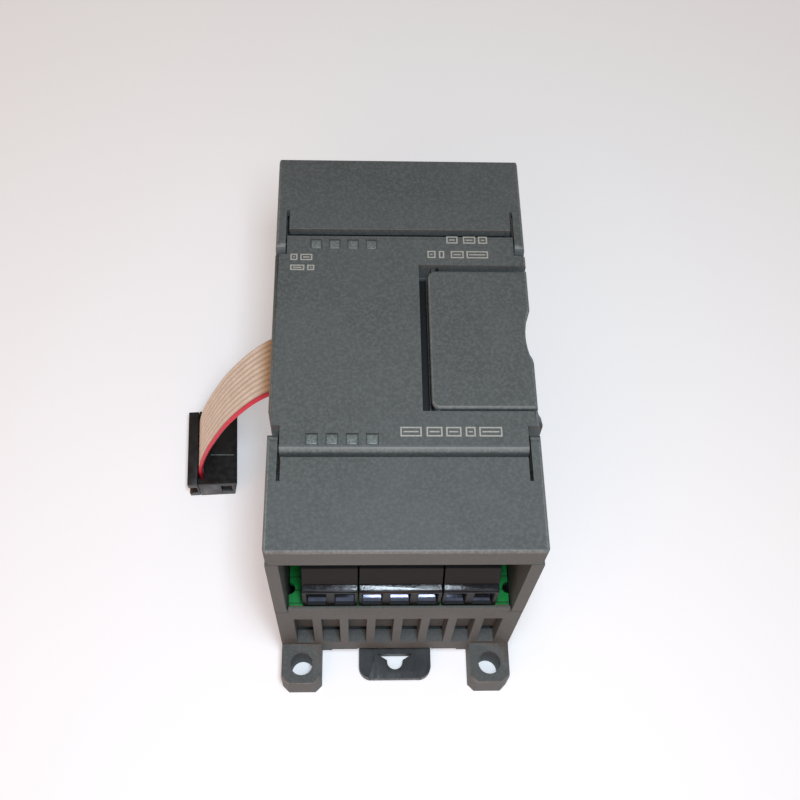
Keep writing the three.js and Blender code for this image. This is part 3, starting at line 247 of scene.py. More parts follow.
PLACE = "ShaderNodeTexCoord"
TURNED = "ShaderNodeMapping"
NOISE = "ShaderNodeTexNoise"
RAMP = "ShaderNodeValToRGB"
MIX = "ShaderNodeMix"
BUMP = "ShaderNodeBump"
SPLIT = "ShaderNodeSeparateXYZ"


def colour(value):
    """An sRGB hex colour as linear RGBA."""
    parts = [int(value[i:i + 2], 16) / 255 for i in (1, 3, 5)]
    linear = [c / 12.92 if c <= 0.04045 else ((c + 0.055) / 1.055) ** 2.4 for c in parts]
    return (*linear, 1.0)


def grey(value):
    """A number between 0 and 1 as a colour, for masks and roughness."""
    return (value, value, value, 1)


def add_node(tree, kind, settings=None, links=None):
    """Adds a node, sets its sockets, properties and colour stops, and links its inputs."""
    node = tree.nodes.new(kind)
    for key, value in (settings or {}).items():
        if key == "stops":
            node.color_ramp.interpolation = "EASE"
            for element, (position, tint) in zip(node.color_ramp.elements, value):
                element.position = position
                element.color = tint
        elif isinstance(key, int) or key in node.inputs:
            node.inputs[key].default_value = value
        else:
            setattr(node, key, value)
    for key, source in (links or {}).items():
        tree.links.new(source, node.inputs[key])
    return node


def new_material(name, **settings):
    """A material with one shader; returns the material, its tree, its shader and the place."""
    material = bpy.data.materials.new(name)
    material.use_nodes = True
    tree = material.node_tree
    shader = tree.nodes["Principled BSDF"]
    for key, value in settings.items():
        shader.inputs[key.replace("_", " ")].default_value = value
    return material, tree, shader, add_node(tree, PLACE).outputs["Object"]


def finish(tree, shader, tint, gloss, height, depth, strength):
    """Links colour, roughness and a height field of a depth in metres to the shader."""
    relief = add_node(tree, BUMP, {"Strength": strength, "Distance": depth}, {"Height": height})
    tree.links.new(tint, shader.inputs["Base Color"])
    tree.links.new(gloss, shader.inputs["Roughness"])
    tree.links.new(relief.outputs["Normal"], shader.inputs["Normal"])
    return relief


def uneven(name, size, tints, gloss, depth, strength=0.4, detail=3.0, crumble=0.5, **settings):
    """A finish whose colour, gloss and height all follow one cloudy grain of a size in metres;
    tints and gloss are pairs, from the grain's low spots to its high ones."""
    material, tree, shader, place = new_material(name, **settings)
    skin = add_node(tree, NOISE, {"Scale": 1 / size, "Detail": detail, "Roughness": crumble},
                    {"Vector": place}).outputs["Fac"]
    tint = add_node(tree, RAMP, {"stops": ((0.3, colour(tints[0])), (0.7, colour(tints[1])))},
                    {"Fac": skin})
    shine = add_node(tree, RAMP, {"stops": ((0.3, grey(gloss[0])), (0.7, grey(gloss[1])))},
                     {"Fac": skin})
    finish(tree, shader, tint.outputs["Color"], shine.outputs["Color"], skin, depth, strength)
    return material


def moulded_case(name, dark, base, light, roughness):
    """Polycarbonate blend from a spark-eroded mould: a matt, finely pitted skin whose colour
    wanders a little over the part and is freckled where the pits hold dust."""
    material, tree, shader, place = new_material(name, IOR=1.5, Specular_IOR_Level=0.3)
    cloud = add_node(tree, NOISE, {"Scale": 1 / (14 * MM), "Detail": 3.0}, {"Vector": place})
    pits = add_node(tree, NOISE, {"Scale": 1 / (0.55 * MM), "Detail": 3.0, "Roughness": 0.6},
                    {"Vector": place}).outputs["Fac"]
    grit = add_node(tree, NOISE, {"Scale": 1 / (0.22 * MM), "Detail": 2.0}, {"Vector": place})
    wander = add_node(tree, RAMP, {"stops": ((0.3, colour(dark)), (0.7, colour(base)))},
                      {"Fac": cloud.outputs["Fac"]})
    freckle = add_node(tree, RAMP, {"stops": ((0.35, grey(0)), (0.75, grey(1)))}, {"Fac": pits})
    tint = add_node(tree, MIX, {"data_type": "RGBA", 7: colour(light)},
                    {0: freckle.outputs["Color"], 6: wander.outputs["Color"]})
    gloss = add_node(tree, RAMP, {"stops": ((0.3, grey(roughness - 0.06)),
                                            (0.7, grey(roughness + 0.08)))}, {"Fac": pits})
    skin = add_node(tree, MIX, {"data_type": "RGBA", 0: 0.5}, {6: pits, 7: grit.outputs["Fac"]})
    finish(tree, shader, tint.outputs[2], gloss.outputs["Color"], skin.outputs[2], 0.05 * MM, 0.55)
    return material


def scuffed_acetal():
    """Acetal from a smooth mould: near black, satin, scuffed grey where it has been levered."""
    material, tree, shader, place = new_material("scuffed_acetal", IOR=1.48)
    drawn = add_node(tree, TURNED, {"Scale": (1, 0.22, 1)}, {"Vector": place})
    scuffs = add_node(tree, NOISE, {"Scale": 1 / (0.7 * MM), "Detail": 6.0, "Roughness": 0.7},
                      {"Vector": drawn.outputs["Vector"]}).outputs["Fac"]
    cloud = add_node(tree, NOISE, {"Scale": 1 / (5 * MM), "Detail": 3.0}, {"Vector": place})
    wear = add_node(tree, MIX, {"data_type": "RGBA", 0: 0.4}, {6: scuffs, 7: cloud.outputs["Fac"]})
    tint = add_node(tree, RAMP, {"stops": ((0.42, colour("#121416")), (0.62, colour("#2a2e30")))},
                    {"Fac": wear.outputs[2]})
    gloss = add_node(tree, RAMP, {"stops": ((0.35, grey(0.32)), (0.65, grey(0.6)))},
                     {"Fac": scuffs})
    finish(tree, shader, tint.outputs["Color"], gloss.outputs["Color"], scuffs, 0.04 * MM, 0.4)
    return material


def glossy_polyamide():
    """Glass-filled polyamide from a polished mould: black, with a slightly wavy gloss."""
    material, tree, shader, place = new_material("glossy_polyamide", IOR=1.53,
                                                 Specular_IOR_Level=0.2)
    flow = add_node(tree, NOISE, {"Scale": 1 / (2.6 * MM), "Detail": 4.0},
                    {"Vector": place}).outputs["Fac"]
    skin = add_node(tree, NOISE, {"Scale": 1 / (0.3 * MM), "Detail": 2.0}, {"Vector": place})
    tint = add_node(tree, RAMP, {"stops": ((0.3, colour("#1b1c1f")), (0.7, colour("#26272b")))},
                    {"Fac": flow})
    gloss = add_node(tree, RAMP, {"stops": ((0.35, grey(0.08)), (0.65, grey(0.15)))},
                     {"Fac": flow})
    waves = add_node(tree, MIX, {"data_type": "RGBA", 0: 0.3}, {6: flow, 7: skin.outputs["Fac"]})
    finish(tree, shader, tint.outputs["Color"], gloss.outputs["Color"], waves.outputs[2],
           0.06 * MM, 0.5)
    return material


def solder_resist():
    """Green lacquer over a glass laminate: glossy, darker over bare laminate than over copper,
    with a strip along the board's two ends that has no lacquer."""
    material, tree, shader, place = new_material("solder_resist", IOR=1.55, Coat_Weight=0.4,
                                                 Coat_Roughness=0.12)
    tracks = add_node(tree, "ShaderNodeTexBrick", {
        "Scale": 1.0, "Mortar Size": 0.22 * MM, "Mortar Smooth": 0.1, "Brick Width": 6.1 * MM,
        "Row Height": 2.54 * MM, "Color1": colour("#12853a"), "Color2": colour("#0c7431"),
        "Mortar": colour("#064a20"), "offset": 0.37,
    }, {"Vector": place})
    cloud = add_node(tree, NOISE, {"Scale": 1 / (3 * MM), "Detail": 3.0},
                     {"Vector": place}).outputs["Fac"]
    stain = add_node(tree, RAMP, {"stops": ((0.3, colour("#0a6a2c")), (0.7, colour("#18a04a")))},
                     {"Fac": cloud})
    green = add_node(tree, MIX, {"data_type": "RGBA", 0: 0.25},
                     {6: tracks.outputs["Color"], 7: stain.outputs["Color"]})
    across = add_node(tree, SPLIT, None, {"Vector": place})
    reach = add_node(tree, "ShaderNodeMath", {"operation": "ABSOLUTE"}, {0: across.outputs["Y"]})
    bare = add_node(tree, "ShaderNodeMath", {"operation": "GREATER_THAN", 1: RESIST_END},
                    {0: reach.outputs["Value"]})
    tint = add_node(tree, MIX, {"data_type": "RGBA", 7: colour("#5d5f38")},
                    {0: bare.outputs["Value"], 6: green.outputs[2]})
    gloss = add_node(tree, RAMP, {"stops": ((0.3, grey(0.22)), (0.7, grey(0.34)))},
                     {"Fac": cloud})
    relief = finish(tree, shader, tint.outputs[2], gloss.outputs["Color"], tracks.outputs["Fac"],
                    0.03 * MM, 0.5)
    relief.invert = True
    return material


def flat_cable_vinyl(name, dark, base, near_case_tint):
    """Extruded vinyl insulation: satin, a little uneven, and tinted darker near the case."""
    material, tree, shader, place = new_material(name, IOR=1.52)
    cloud = add_node(tree, NOISE, {"Scale": 1 / (2.5 * MM), "Detail": 3.0},
                     {"Vector": place}).outputs["Fac"]
    fresh = add_node(tree, RAMP, {"stops": ((0.3, colour(dark)), (0.7, colour(base)))},
                     {"Fac": cloud})
    along = add_node(tree, SPLIT, None, {"Vector": place})
    near = add_node(tree, "ShaderNodeMapRange", {
        "From Min": TINT_START, "From Max": TINT_FULL, "interpolation_type": "SMOOTHSTEP",
    }, {"Value": along.outputs["X"]})
    tint = add_node(tree, MIX, {"data_type": "RGBA", 7: colour(near_case_tint)},
                    {0: near.outputs["Result"], 6: fresh.outputs["Color"]})
    gloss = add_node(tree, RAMP, {"stops": ((0.3, grey(0.42)), (0.7, grey(0.54)))},
                     {"Fac": cloud})
    finish(tree, shader, tint.outputs[2], gloss.outputs["Color"], cloud, 0.03 * MM, 0.3)
    return material


RESIST_END = 38.55 * MM  # the lacquer ends this far from the board's middle
TINT_START = -27.5 * MM
TINT_FULL = -24 * MM

case_plastic = moulded_case("textured_polycarbonate", "#4b4f4e", "#515554", "#5c6160", 0.62)
# the same blend, lighter and smoother, as a painted highlight on the rounded rims
rim_highlight_plastic = moulded_case("rim_highlight_polycarbonate", "#5e6260", "#666a68", "#757a78", 0.5)
clip_plastic = scuffed_acetal()
block_gloss = glossy_polyamide()
# the same polyamide from an eroded mould: dark and matt
block_matt = uneven("matt_polyamide", 0.4 * MM, ("#141518", "#1c1d20"), (0.5, 0.62), 0.03 * MM,
                    IOR=1.53, Specular_IOR_Level=0.22)
# glass-filled polyester, moulded: black, satin, with faint flow marks
connector_plastic = uneven("connector_polyester", 1.4 * MM, ("#101113", "#191b1d"), (0.3, 0.48),
                           0.04 * MM, 0.3, 4.0, IOR=1.57)
resist = solder_resist()
# black passivated zinc on folded steel: a dark mirror, faintly cloudy from the bath
black_zinc = uneven("black_passivated_zinc", 2 * MM, ("#26272d", "#303138"), (0.1, 0.06),
                    0.02 * MM, 0.12, 4.0, 0.6, Metallic=1.0)
# bright zinc plating on turned steel: silvery, softly clouded
zinc = uneven("zinc_plating", 0.8 * MM, ("#a2a5a9", "#c8cacd"), (0.36, 0.24), 0.02 * MM, 0.3,
              4.0, 0.6, Metallic=1.0)
# drawn aluminium: pale and satin
can_metal = uneven("drawn_aluminium", 0.5 * MM, ("#a4a8ab", "#c3c6c9"), (0.42, 0.3), 0.02 * MM,
                   0.3, 4.0, 0.6, Metallic=1.0)
vinyl = flat_cable_vinyl("aged_cable_vinyl", "#cdbfab", "#d8cbb9", "#b3956a")
red_vinyl = flat_cable_vinyl("red_cable_vinyl", "#c0233d", "#cf2b45", "#b0203a")
# moulding epoxy of chip cases: near black, dull
chip_epoxy = uneven("chip_epoxy", 0.25 * MM, ("#1c1d1f", "#2a2b2d"), (0.47, 0.59), 0.03 * MM,
                    IOR=1.5)
# poured epoxy: dark brown, half glossy, with slow waves
potting = uneven("potting_epoxy", 2 * MM, ("#2c2820", "#39342a"), (0.35, 0.47), 0.03 * MM,
                 IOR=1.5)
# pale polyester: lighter than the skin around it
pale_polyester = uneven("pale_polyester", 0.4 * MM, ("#4a4f50", "#747b7b"), (0.35, 0.47),
                        0.03 * MM, IOR=1.5)
# black and dead matt: a sheet of painted shade for the gap beside the cover's hinge
shade_strip_black = uneven("painted_shade_black", 0.3 * MM, ("#08090a", "#0e0f10"), (0.7, 0.82), 0.03 * MM,
                     IOR=1.5)
# pad-printed ink: pale warm grey, slightly patchy
legend_ink = uneven("legend_ink", 0.3 * MM, ("#96958d", "#a7a69d"), (0.45, 0.57), 0.03 * MM,
                    IOR=1.5)
# frosted polycarbonate of the light guides: a little paler and glossier than the case
window_plastic = uneven("light_guide_polycarbonate", 0.35 * MM, ("#585e5c", "#737a77"),
                        (0.3, 0.42), 0.03 * MM, IOR=1.5)


# ---------------------------------------------------------------- flat cable

# The centre line, in metres: up from the board, out through the left wall and
# down to the table, where it ends inside the connector.
RIBBON_ROUTE = [Vector(p) * MM for p in (
    (-4, 4.1, 35.4), (-4, 4.1, 38.2), (-4.6, 4.1, 41.4), (-6.5, 4.1, 44), (-9.5, 4.1, 45.9),
    (-13, 4.1, 46.7), (-17, 4.1, 46.7), (-20.5, 4.1, 46.1), (-23, 4.1, 44.9), (-25.3, 4.1, 43.1),
    (-27.2, 4.1, 41.1), (-29.5, 4.1, 38.1), (-32.4, 4.1, 33.6), (-35, 4.15, 28.8),
    (-37.4, 4.2, 23.4), (-39.3, 4.25, 18.7), (-41.2, 4.3, 13), (-42.3, 4.4, 8.3),
    (-42.65, 4.45, 5.4), (-42.75, 4.45, 3), (-42.75, 4.45, 0.8))]
WIRES = 10
WIRE_PITCH = 1.27 * MM
WIRE_RADIUS = 0.45 * MM
WEB_HALF = 0.2 * MM
CONNECTOR_TURN = math.radians(2.96)
TURN_START, TURN_END = 0.45, 0.95  # shares of the length between which the cable twists
SPAN_STEPS = 8
BACK_STEPS = 6


def smooth_line(points, steps):
    """Points of a centripetal Catmull-Rom curve through the given points."""
    ends = [2 * points[0] - points[1], *points, 2 * points[-1] - points[-2]]
    line = []
    for p0, p1, p2, p3 in zip(ends, ends[1:], ends[2:], ends[3:]):
        t1 = (p1 - p0).length ** 0.5
        t2 = t1 + (p2 - p1).length ** 0.5
        t3 = t2 + (p3 - p2).length ** 0.5
        for i in range(steps):
            t = t1 + (t2 - t1) * i / steps
            a1 = p0.lerp(p1, t / t1)
            a2 = p1.lerp(p2, (t - t1) / (t2 - t1))
            a3 = p2.lerp(p3, (t - t2) / (t3 - t2))
            b1 = a1.lerp(a2, t / t2)
            b2 = a2.lerp(a3, (t - t1) / (t3 - t1))
            line.append(b1.lerp(b2, (t - t1) / (t2 - t1)))
    return [*line, points[-1]]


def ribbon_section():
    """Half outlines (across, height) over the ten wires: round backs with webs between them."""
    upper = []
    dip = math.asin(WEB_HALF / WIRE_RADIUS)
    for wire in range(WIRES):
        middle = (wire - (WIRES - 1) / 2) * WIRE_PITCH
        for i in range(BACK_STEPS + 1):
            angle = math.pi - dip - (math.pi - 2 * dip) * i / BACK_STEPS
            upper.append((middle + WIRE_RADIUS * math.cos(angle), WIRE_RADIUS * math.sin(angle),
                          wire))
    edge = (WIRES / 2) * WIRE_PITCH
    return [(-edge, 0, 0), *upper, (edge, 0, WIRES - 1)]


def ribbon_cable():
    """Ten insulated wires side by side, the one at the lower edge red."""
    line = smooth_line(RIBBON_ROUTE, SPAN_STEPS)
    length = sum((b - a).length for a, b in zip(line, line[1:]))
    upper = ribbon_section()
    lower = [(a, -h, w) for a, h, w in reversed(upper[1:-1])]
    section = upper + lower
    verts, faces, wires = [], [], []
    travelled = 0.0
    for i, point in enumerate(line):
        if i:
            travelled += (point - line[i - 1]).length
        along = min(1, max(0, (travelled / length - TURN_START) / (TURN_END - TURN_START)))
        turn = CONNECTOR_TURN * along * along * (3 - 2 * along)
        across = Vector((-math.sin(turn), math.cos(turn), 0))
        tangent = (line[min(i + 1, len(line) - 1)] - line[max(i - 1, 0)]).normalized()
        normal = tangent.cross(across).normalized()
        verts += [point + across * a + normal * h for a, h, _ in section]
    count = len(section)
    for i in range(len(line) - 1):
        for j in range(count):
            k = (j + 1) % count
            faces.append((i * count + j, (i + 1) * count + j, (i + 1) * count + k, i * count + k))
            wires.append(section[j][2] if section[j][2] == section[k][2] else max(section[j][2], 1))
    faces.append(tuple(range(count)))
    faces.append(tuple(len(verts) - count + j for j in reversed(range(count))))
    mesh = bpy.data.meshes.new("flat_cable")
    mesh.from_pydata(verts, [], faces)
    piece = bpy.data.objects.new("flat_cable", mesh)
    bpy.context.scene.collection.objects.link(piece)
    edit(piece)
    bpy.ops.mesh.select_all(action="SELECT")
    bpy.ops.mesh.normals_make_consistent(inside=False)
    done()
    shade(piece, 60)
    hand_over(piece, "case", "cable", vinyl, red_vinyl, replaces=["ribbon_cable"])
    for face, wire in zip(mesh.polygons, wires):
        face.material_index = 1 if wire == 0 else 0
    return piece, line, length


cable, cable_line, cable_length = ribbon_cable()


# ---------------------------------------------------------------- connector

CONNECTOR_PLACE = Vector((-40.12, 4.97, 0)) * MM
CONNECTOR_MATRIX = Matrix.Translation(CONNECTOR_PLACE) @ Matrix.Rotation(CONNECTOR_TURN, 4, "Z")
CONNECTOR_TOP = 6 * MM
CONTACT_FACE = 5.45 * MM
CONTACT_DRAFT = 1 * MM  # how far the contact face leans in towards the table
BAR_INNER = -3.38 * MM
BAR_CLOSER = 0.2 * MM  # how much nearer the clamp bar is crimped to the shell
CONNECTOR_EDGE = 0.18 * MM
# The latch recess near each end: across, half length, and the span and height of each half's
RECESS_MIDDLE = 9 * MM
RECESS_HALF = 0.9 * MM
BAR_RECESS = (-5 * MM, -3.6 * MM, 1.8 * MM, 4.2 * MM)
SHELL_RECESS = (1.7 * MM, 4.1 * MM, 1.2 * MM, 4.8 * MM)


def connector_half(node, name, recess):
    """One half of the connector: edges broken, with the latch recess sunk near both ends."""
    piece = merged_copy(node, name)
    piece.data.transform(CONNECTOR_MATRIX.inverted())
    for corner in [v.co for v in piece.data.vertices]:
        if corner.x > CONTACT_FACE - 0.1 * MM:
            corner.x -= CONTACT_DRAFT * (1 - corner.z / CONNECTOR_TOP)
        if abs(corner.x - BAR_INNER) < SAME:
            corner.x += BAR_CLOSER
    left, right, low, high = recess
    cut_by(piece, *(block("recess", (left, y - RECESS_HALF, low), (right, y + RECESS_HALF, high))
                    for y in (-RECESS_MIDDLE, RECESS_MIDDLE)))
    round_corners(piece, CONNECTOR_EDGE)
    shade(piece)
    piece.data.transform(CONNECTOR_MATRIX)
    return hand_over(piece, "case", "connector", connector_plastic, replaces=[node])


connector_cover = connector_half("connector_cover", "connector_clamp_bar", BAR_RECESS)
connector_body = connector_half("connector_body", "connector_shell", SHELL_RECESS)

KEY_LINE_LOW = Vector((-40.4, 2.9, 5.9)) * MM
KEY_LINE_HIGH = Vector((-35.3, 3.12, 6.08)) * MM

key_line = block("connector_key_line", KEY_LINE_LOW, KEY_LINE_HIGH)
hand_over(key_line, "case", "connector", pale_polyester)


# ---------------------------------------------------------------- case mouldings

# A black strip of painted shade lies in a groove beside the cover's hinge; the groove is a little
# wider and longer than the strip
GROOVE_FLOOR = 56.7 * MM
GROOVE_LOW = Vector((3.35 * MM, -14.5 * MM, GROOVE_FLOOR))
GROOVE_HIGH = Vector((4.75 * MM, 15.1 * MM, 58.5 * MM))
SHADE_STRIP_LOW = Vector((3.4 * MM, -14.4 * MM, GROOVE_FLOOR + 0.02 * MM))
SHADE_STRIP_HIGH = Vector((4.7 * MM, 15 * MM, GROOVE_FLOOR + 0.7 * MM))
CASE_FRONT = 62 * MM
COVER_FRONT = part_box("port_cover")[1][2]
EAR_TOP = 7.6 * MM
EAR_ROOT = 40.3 * MM
PANEL_EDGE = 21 * MM
FRONT_ROUND = 0.6 * MM
EAR_ROUND = 0.5 * MM
RIM_TILT = (0.2, 0.96)  # how far the faces of a rim with the painted highlight tilt, from nearly upright to nearly level


def panel_edge(edge):
    """The front panel's long edges beside the doors."""
    low, high = edge.verts[0].co, edge.verts[1].co
    return (is_corner(edge) and abs(low.y - high.y) < SAME and abs(low.y) > PANEL_EDGE
            and min(low.z, high.z) > CASE_FRONT - SAME)


def ear_rim(edge):
    """The upper rims of the screw ears."""
    low, high = edge.verts[0].co, edge.verts[1].co
    return (is_corner(edge) and abs(low.z - EAR_TOP) < SAME and abs(high.z - EAR_TOP) < SAME
            and min(abs(low.y), abs(high.y)) > EAR_ROOT)


def cover_rim(edge):
    """The rim of the socket cover's face."""
    return is_corner(edge, 60, 0) and min(v.co.z for v in edge.verts) > COVER_FRONT - SAME


def front_rim_highlight(centre, normal):
    """The rounded rims of the front, which get a painted highlight."""
    return centre.z > COVER_FRONT - FRONT_ROUND and RIM_TILT[0] < normal.z < RIM_TILT[1]


def ear_rim_highlight(centre, normal):
    """The rounded rims of the screw ears, which get a painted highlight."""
    return (abs(centre.y) > EAR_ROOT and centre.z > EAR_TOP - EAR_ROUND
            and RIM_TILT[0] < normal.z < RIM_TILT[1])


WIDE_ROUND = {"front_housing": (FRONT_ROUND, panel_edge), "base_housing": (EAR_ROUND, ear_rim),
              "port_cover": (FRONT_ROUND, cover_rim)}

for node, name, body, width in (
        ("base_housing", "base_moulding", "case", 0.22),
        ("front_housing", "front_moulding", "case", 0.3),
        ("top_door", "top_door_moulding", "top_door", 0.35),
        ("bottom_door", "bottom_door_moulding", "bottom_door", 0.35),
        ("port_cover", "port_cover_moulding", "port_cover", 0.2)):
    moulding = merged_copy(node, name)
    if node == "front_housing":
        cut_by(moulding, block("groove", GROOVE_LOW, GROOVE_HIGH))
    if node in WIDE_ROUND:
        wide, test = WIDE_ROUND[node]
        round_corners(moulding, wide, 4, test, clamp=node != "port_cover")
    round_corners(moulding, width * MM)
    for corner in [v.co for v in moulding.data.vertices]:
        corner.z = min(corner.z, CASE_FRONT)
    shade(moulding)
    flatten(moulding)
    hand_over(moulding, body, "housing", case_plastic, rim_highlight_plastic, replaces=[node])
    # the rounded rims take the lighter, smoother blend: a painted highlight
    at(moulding, ear_rim_highlight if node == "base_housing" else front_rim_highlight, 1)

# a black strip on the groove's floor, which paints the gap's shade
gap_shade_strip = block("hinge_gap_painted_shade", SHADE_STRIP_LOW, SHADE_STRIP_HIGH)
round_corners(gap_shade_strip, 0.2 * MM, 2, lambda e: is_corner(e, 60, 0))
shade(gap_shade_strip)
hand_over(gap_shade_strip, "case", "housing", shade_strip_black)

CLIP_TAIL_Y = -43 * MM
CLIP_TAIL_X = 5 * MM
CLIP_TAIL_HEIGHT = 1.5 * MM


def tail_corner(edge):
    """The two upright corners at the outer end of the rail clip."""
    low, high = edge.verts[0].co, edge.verts[1].co
    return (is_corner(edge, 35, CLIP_TAIL_HEIGHT) and abs(low.z - high.z) > CLIP_TAIL_HEIGHT
            and max(low.y, high.y) < CLIP_TAIL_Y and abs(low.x) > CLIP_TAIL_X)


clip = merged_copy("din_clip", "rail_latch")
round_corners(clip, 0.9 * MM, 4, tail_corner)
round_corners(clip, 0.3 * MM)
shade(clip)
hand_over(clip, "rail_clip", "clip", clip_plastic, replaces=["din_clip"])


# ---------------------------------------------------------------- windows and marks

WINDOW_X = [(-15.55 + 3.38 * i) * MM for i in range(4)]
WINDOW_Y = 19.95 * MM
WINDOW_HALF = 0.93 * MM
WINDOW_FLOOR = 61.5 * MM
WINDOW_TOP = CASE_FRONT - 0.16 * MM
INK = 0.012 * MM

# Printed marks as rows of plain bars: left, right, low and high sides in millimetres
MARK_ROWS = (
    ((-20.2, -18.9, 16.2, 17.6), (-18.4, -16.2, 16.2, 17.6)),
    ((-20.2, -17.6, 14.0, 15.2), (-17.1, -15.8, 14.0, 15.2)),
    ((8.5, 10.6, 20.2, 21.8), (11.6, 13.9, 20.2, 21.8), (14.4, 16.1, 20.2, 21.8)),
    ((4.9, 6.4, 16.9, 18.5), (7.0, 8.0, 16.9, 18.5), (9.2, 11.6, 16.9, 18.5),
     (12.1, 16.1, 16.9, 18.5)),
    ((-0.7, 2.9, -19.5, -17.7), (3.7, 6.4, -19.5, -17.7), (7.0, 9.6, -19.5, -17.7),
     (10.3, 12.0, -19.5, -17.7), (12.6, 16.5, -19.5, -17.7)),
)
MARK_LINE = 0.26
MARK_SHORTEST = 0.1


def frame_bar(left, right, low, high):
    """One printed mark: a thin outline with a dash inside it."""
    line = MARK_LINE
    middle = (low + high) / 2
    boxes = [(left, right, high - line, high), (left, right, low, low + line),
             (left, left + line, low + line, high - line),
             (right - line, right, low + line, high - line),
             (left + 2 * line, right - 2 * line, middle - line / 2, middle + line / 2)]
    return [block("mark", (x0 * MM, y0 * MM, CASE_FRONT - INK),
                  (x1 * MM, y1 * MM, CASE_FRONT + INK))
            for x0, x1, y0, y1 in boxes if x1 - x0 > MARK_SHORTEST]


for end, sign in ENDS:
    for index, x in enumerate(WINDOW_X):
        y = sign * WINDOW_Y
        pad = block(f"{end}_window_{index + 1}", (x - WINDOW_HALF, y - WINDOW_HALF, WINDOW_FLOOR),
                    (x + WINDOW_HALF, y + WINDOW_HALF, WINDOW_TOP))
        round_corners(pad, 0.22 * MM, 3, lambda e: is_corner(e, 60, 0))
        shade(pad)
        hand_over(pad, "case", "housing", window_plastic)
bars = [bar for row in MARK_ROWS for mark in row for bar in frame_bar(*mark)]
marks = join("printed_marks", bars)
hand_over(marks, "case", "housing", legend_ink)


# ---------------------------------------------------------------- terminals

BLOCK_FACE = 38.8 * MM
BLOCK_ROUND = 0.13 * MM
LEDGE_REACH = 1.6 * MM
LEDGE_LOW, LEDGE_HIGH = 37.1 * MM, 38.45 * MM
LEDGE_TOP = 37.8 * MM
LEDGE_CHAMFER = 0.5 * MM
LEDGE_FALL = 0.19 * MM
LIP_DROP = 0.64 * MM
POLE_PITCH = 5.08 * MM
SCREW_Y = 31.6 * MM
SCREW_TOP = 41.8 * MM
SCREW_HEAD = 1.8 * MM
SCREW_HEAD_RADIUS = 1.75 * MM
SCREW_SHANK = 5.2 * MM
SCREW_SHANK_RADIUS = 1.2 * MM
SCREW_SLOT = 0.6 * MM
LIP_SPREAD = 1.07
FOLD_ROUND = 0.07 * MM
SCREW_ROUND = 0.3 * MM
SHANK_OVERLAP = 0.05 * MM


def terminal_block(node):
    """A block of poles: matt all over except for the polished ledge above the wire entries."""
    piece = merged_copy(node, node.replace("terminal_block", "pole_block"))
    edit(piece)
    bpy.ops.mesh.select_all(action="SELECT")
    bpy.ops.mesh.quads_convert_to_tris(quad_method="BEAUTY", ngon_method="BEAUTY")
    done()
    for corner in [v.co for v in piece.data.vertices]:
        if (abs(corner.z - LEDGE_TOP) < SAME
                and abs(abs(corner.y) - BLOCK_FACE + LEDGE_CHAMFER) < SAME):
            corner.z -= LEDGE_FALL
    round_corners(piece, BLOCK_ROUND, 3)
    shade(piece)
    flatten(piece)
    hand_over(piece, "case", "terminal", block_matt, block_gloss, replaces=[node])
    at(piece, lambda c, n: LEDGE_LOW < c.z < LEDGE_HIGH and abs(c.y) > BLOCK_FACE - LEDGE_REACH, 1)


def clamp_cage(node):
    """A folded cage whose lip slopes down to the wire entry and widens a little."""
    piece = merged_copy(node, node + "_cage")
    corners = [v.co for v in piece.data.vertices]
    tip = max(abs(c.y) for c in corners)
    floor = min(c.z for c in corners)
    middle = sum(c.x for c in corners) / len(corners)
    for corner in corners:
        if abs(abs(corner.y) - tip) < SAME:
            corner.x = middle + (corner.x - middle) * LIP_SPREAD
            if corner.z > floor + 0.1 * MM:
                corner.z -= LIP_DROP
    round_corners(piece, FOLD_ROUND, 2, lambda e: is_corner(e, 60, 1.5 * MM))
    shade(piece, 8)
    hand_over(piece, node, "clamp_metal", black_zinc, replaces=[node])


def screw_shape():
    """A slotted screw with a domed edge, the middle of its head's top at the origin."""
    head = disc("head", (0, 0, -SCREW_HEAD / 2), SCREW_HEAD_RADIUS, SCREW_HEAD)
    round_corners(head, SCREW_ROUND, 4,
                  lambda e: is_corner(e, 60, 0) and e.verts[0].co.z > -0.1 * MM)
    shank = disc("shank", (0, 0, -SCREW_HEAD - SCREW_SHANK / 2 + SHANK_OVERLAP),
                 SCREW_SHANK_RADIUS, SCREW_SHANK + 2 * SHANK_OVERLAP, 24)
    round_corners(shank, SCREW_ROUND, 2, lambda e: is_corner(e, 60, 0)
                  and e.verts[0].co.z < -SCREW_HEAD - SCREW_SHANK / 2)
    half = SCREW_SLOT / 2
    cut_by(head, block("slot", (-3 * MM, -half, -SCREW_HEAD / 2), (3 * MM, half, 1 * MM)))
    piece = join("screw", [head, shank])
    shade(piece, 35)
    return piece


for node in [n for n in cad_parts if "terminal_block" in n]:
    terminal_block(node)
for node in [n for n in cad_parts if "_clamp_" in n]:
    clamp_cage(node)
screw = screw_shape()
for end, sign in ENDS:
    for pole in range(POLES):
        place = Vector(((pole - (POLES - 1) / 2) * POLE_PITCH, sign * SCREW_Y, SCREW_TOP))
        node = f"{end}_screw_{pole + 1}"
        shown = moved(screw, Matrix.Translation(place))
        shown.name = node + "_slotted"
        hand_over(shown, node, "screw_metal", zinc, replaces=[node])
bpy.data.objects.remove(screw)


# ---------------------------------------------------------------- carried-over nodes

def give(node, material):
    """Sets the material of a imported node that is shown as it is."""
    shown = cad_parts[node]
    shown.data.materials.clear()
    shown.data.materials.append(material)


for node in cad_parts:
    if node in ("main_board", "port_board"):
        give(node, resist)
    elif node in ("stacking_header", "port_header", "cable_transition"):
        give(node, connector_plastic)
    elif "chip" in node:
        give(node, chip_epoxy)
    elif node == "dc_converter":
        give(node, potting)
    elif "capacitor" in node:
        give(node, can_metal)


# ---------------------------------------------------------------- floor and light

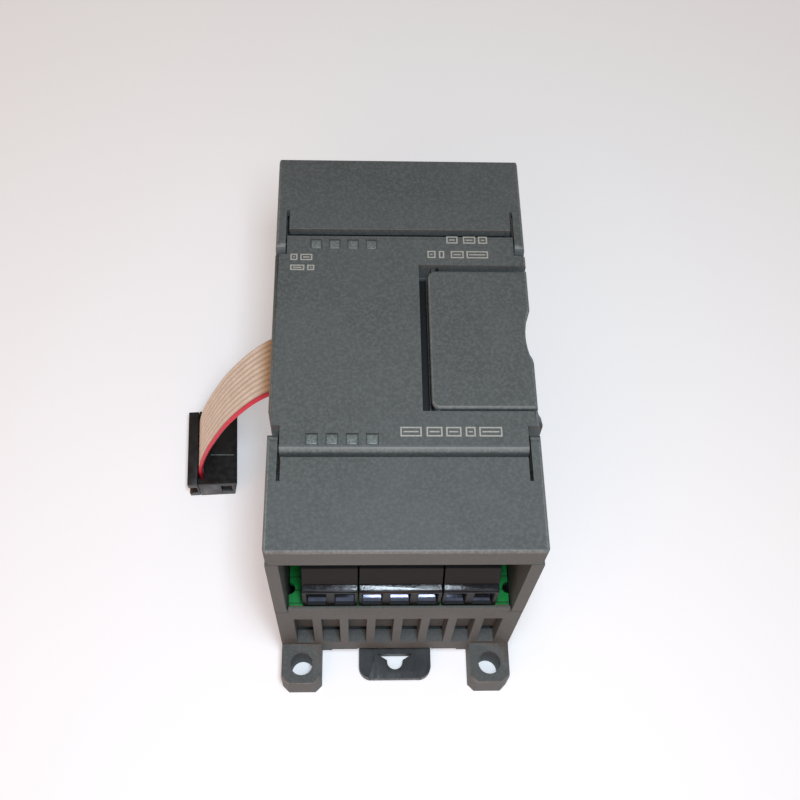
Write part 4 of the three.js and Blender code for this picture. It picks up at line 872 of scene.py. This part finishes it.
def lamp(name, place, aim, size, power, tint):
    """A soft rectangular lamp; place and aim in metres."""
    data = bpy.data.lights.new(name, "AREA")
    data.shape = "RECTANGLE"
    data.size, data.size_y = size
    data.energy = power
    data.color = colour(tint)[:3]
    lamp_object = bpy.data.objects.new(name, data)
    lamp_object.location = place
    direction = Vector(aim) - Vector(place)
    lamp_object.rotation_euler = direction.to_track_quat("-Z", "Y").to_euler()
    bpy.context.scene.collection.objects.link(lamp_object)


def studio():
    """A pale sheet to lie on, a soft overhead light and a warm light over the lower end."""
    bpy.ops.object.select_all(action="DESELECT")
    bpy.ops.mesh.primitive_plane_add(size=3, location=(0, 0, cad_box[0][2] - 0.02 * MM))
    floor = bpy.context.object
    floor.name = "floor"
    # a light table: white sheet lit a little from below
    paper = new_material("light_table_sheet", Base_Color=colour("#e8e8e8"), Roughness=0.9,
                         Emission_Color=colour("#ecf0f6"), Emission_Strength=0.36)[0]
    floor.data.materials.append(paper)
    world = bpy.data.worlds.new("studio")
    bpy.context.scene.world = world
    world.use_nodes = True
    tree = world.node_tree
    sky = tree.nodes["Background"]
    sky.inputs["Color"].default_value = colour("#ffead4")
    sky.inputs["Strength"].default_value = 0.26
    # a pale wall behind the table, which lights nothing
    wall = add_node(tree, "ShaderNodeBackground", {"Color": colour("#d9dadc"), "Strength": 1.0})
    path = add_node(tree, "ShaderNodeLightPath")
    both = add_node(tree, "ShaderNodeMixShader", None,
                    {0: path.outputs["Is Camera Ray"], 1: sky.outputs[0], 2: wall.outputs[0]})
    tree.links.new(both.outputs[0], tree.nodes["World Output"].inputs["Surface"])
    lamp("key", (0.008, -0.08, 0.24), (0.004, -0.03, 0.05), (0.028, 0.06), 0.36, "#e2f1ff")
    lamp("front_fill", (-0.02, -0.17, 0.26), (0, -0.02, 0.05), (0.14, 0.1), 0.13, "#e2f1ff")
    lamp("low_end", (-0.25, -0.55, 0.24), (0, 0, 0.03), (0.9, 0.45), 1.75, "#ff9646")
    bpy.context.scene.view_settings.view_transform = "Standard"


studio()
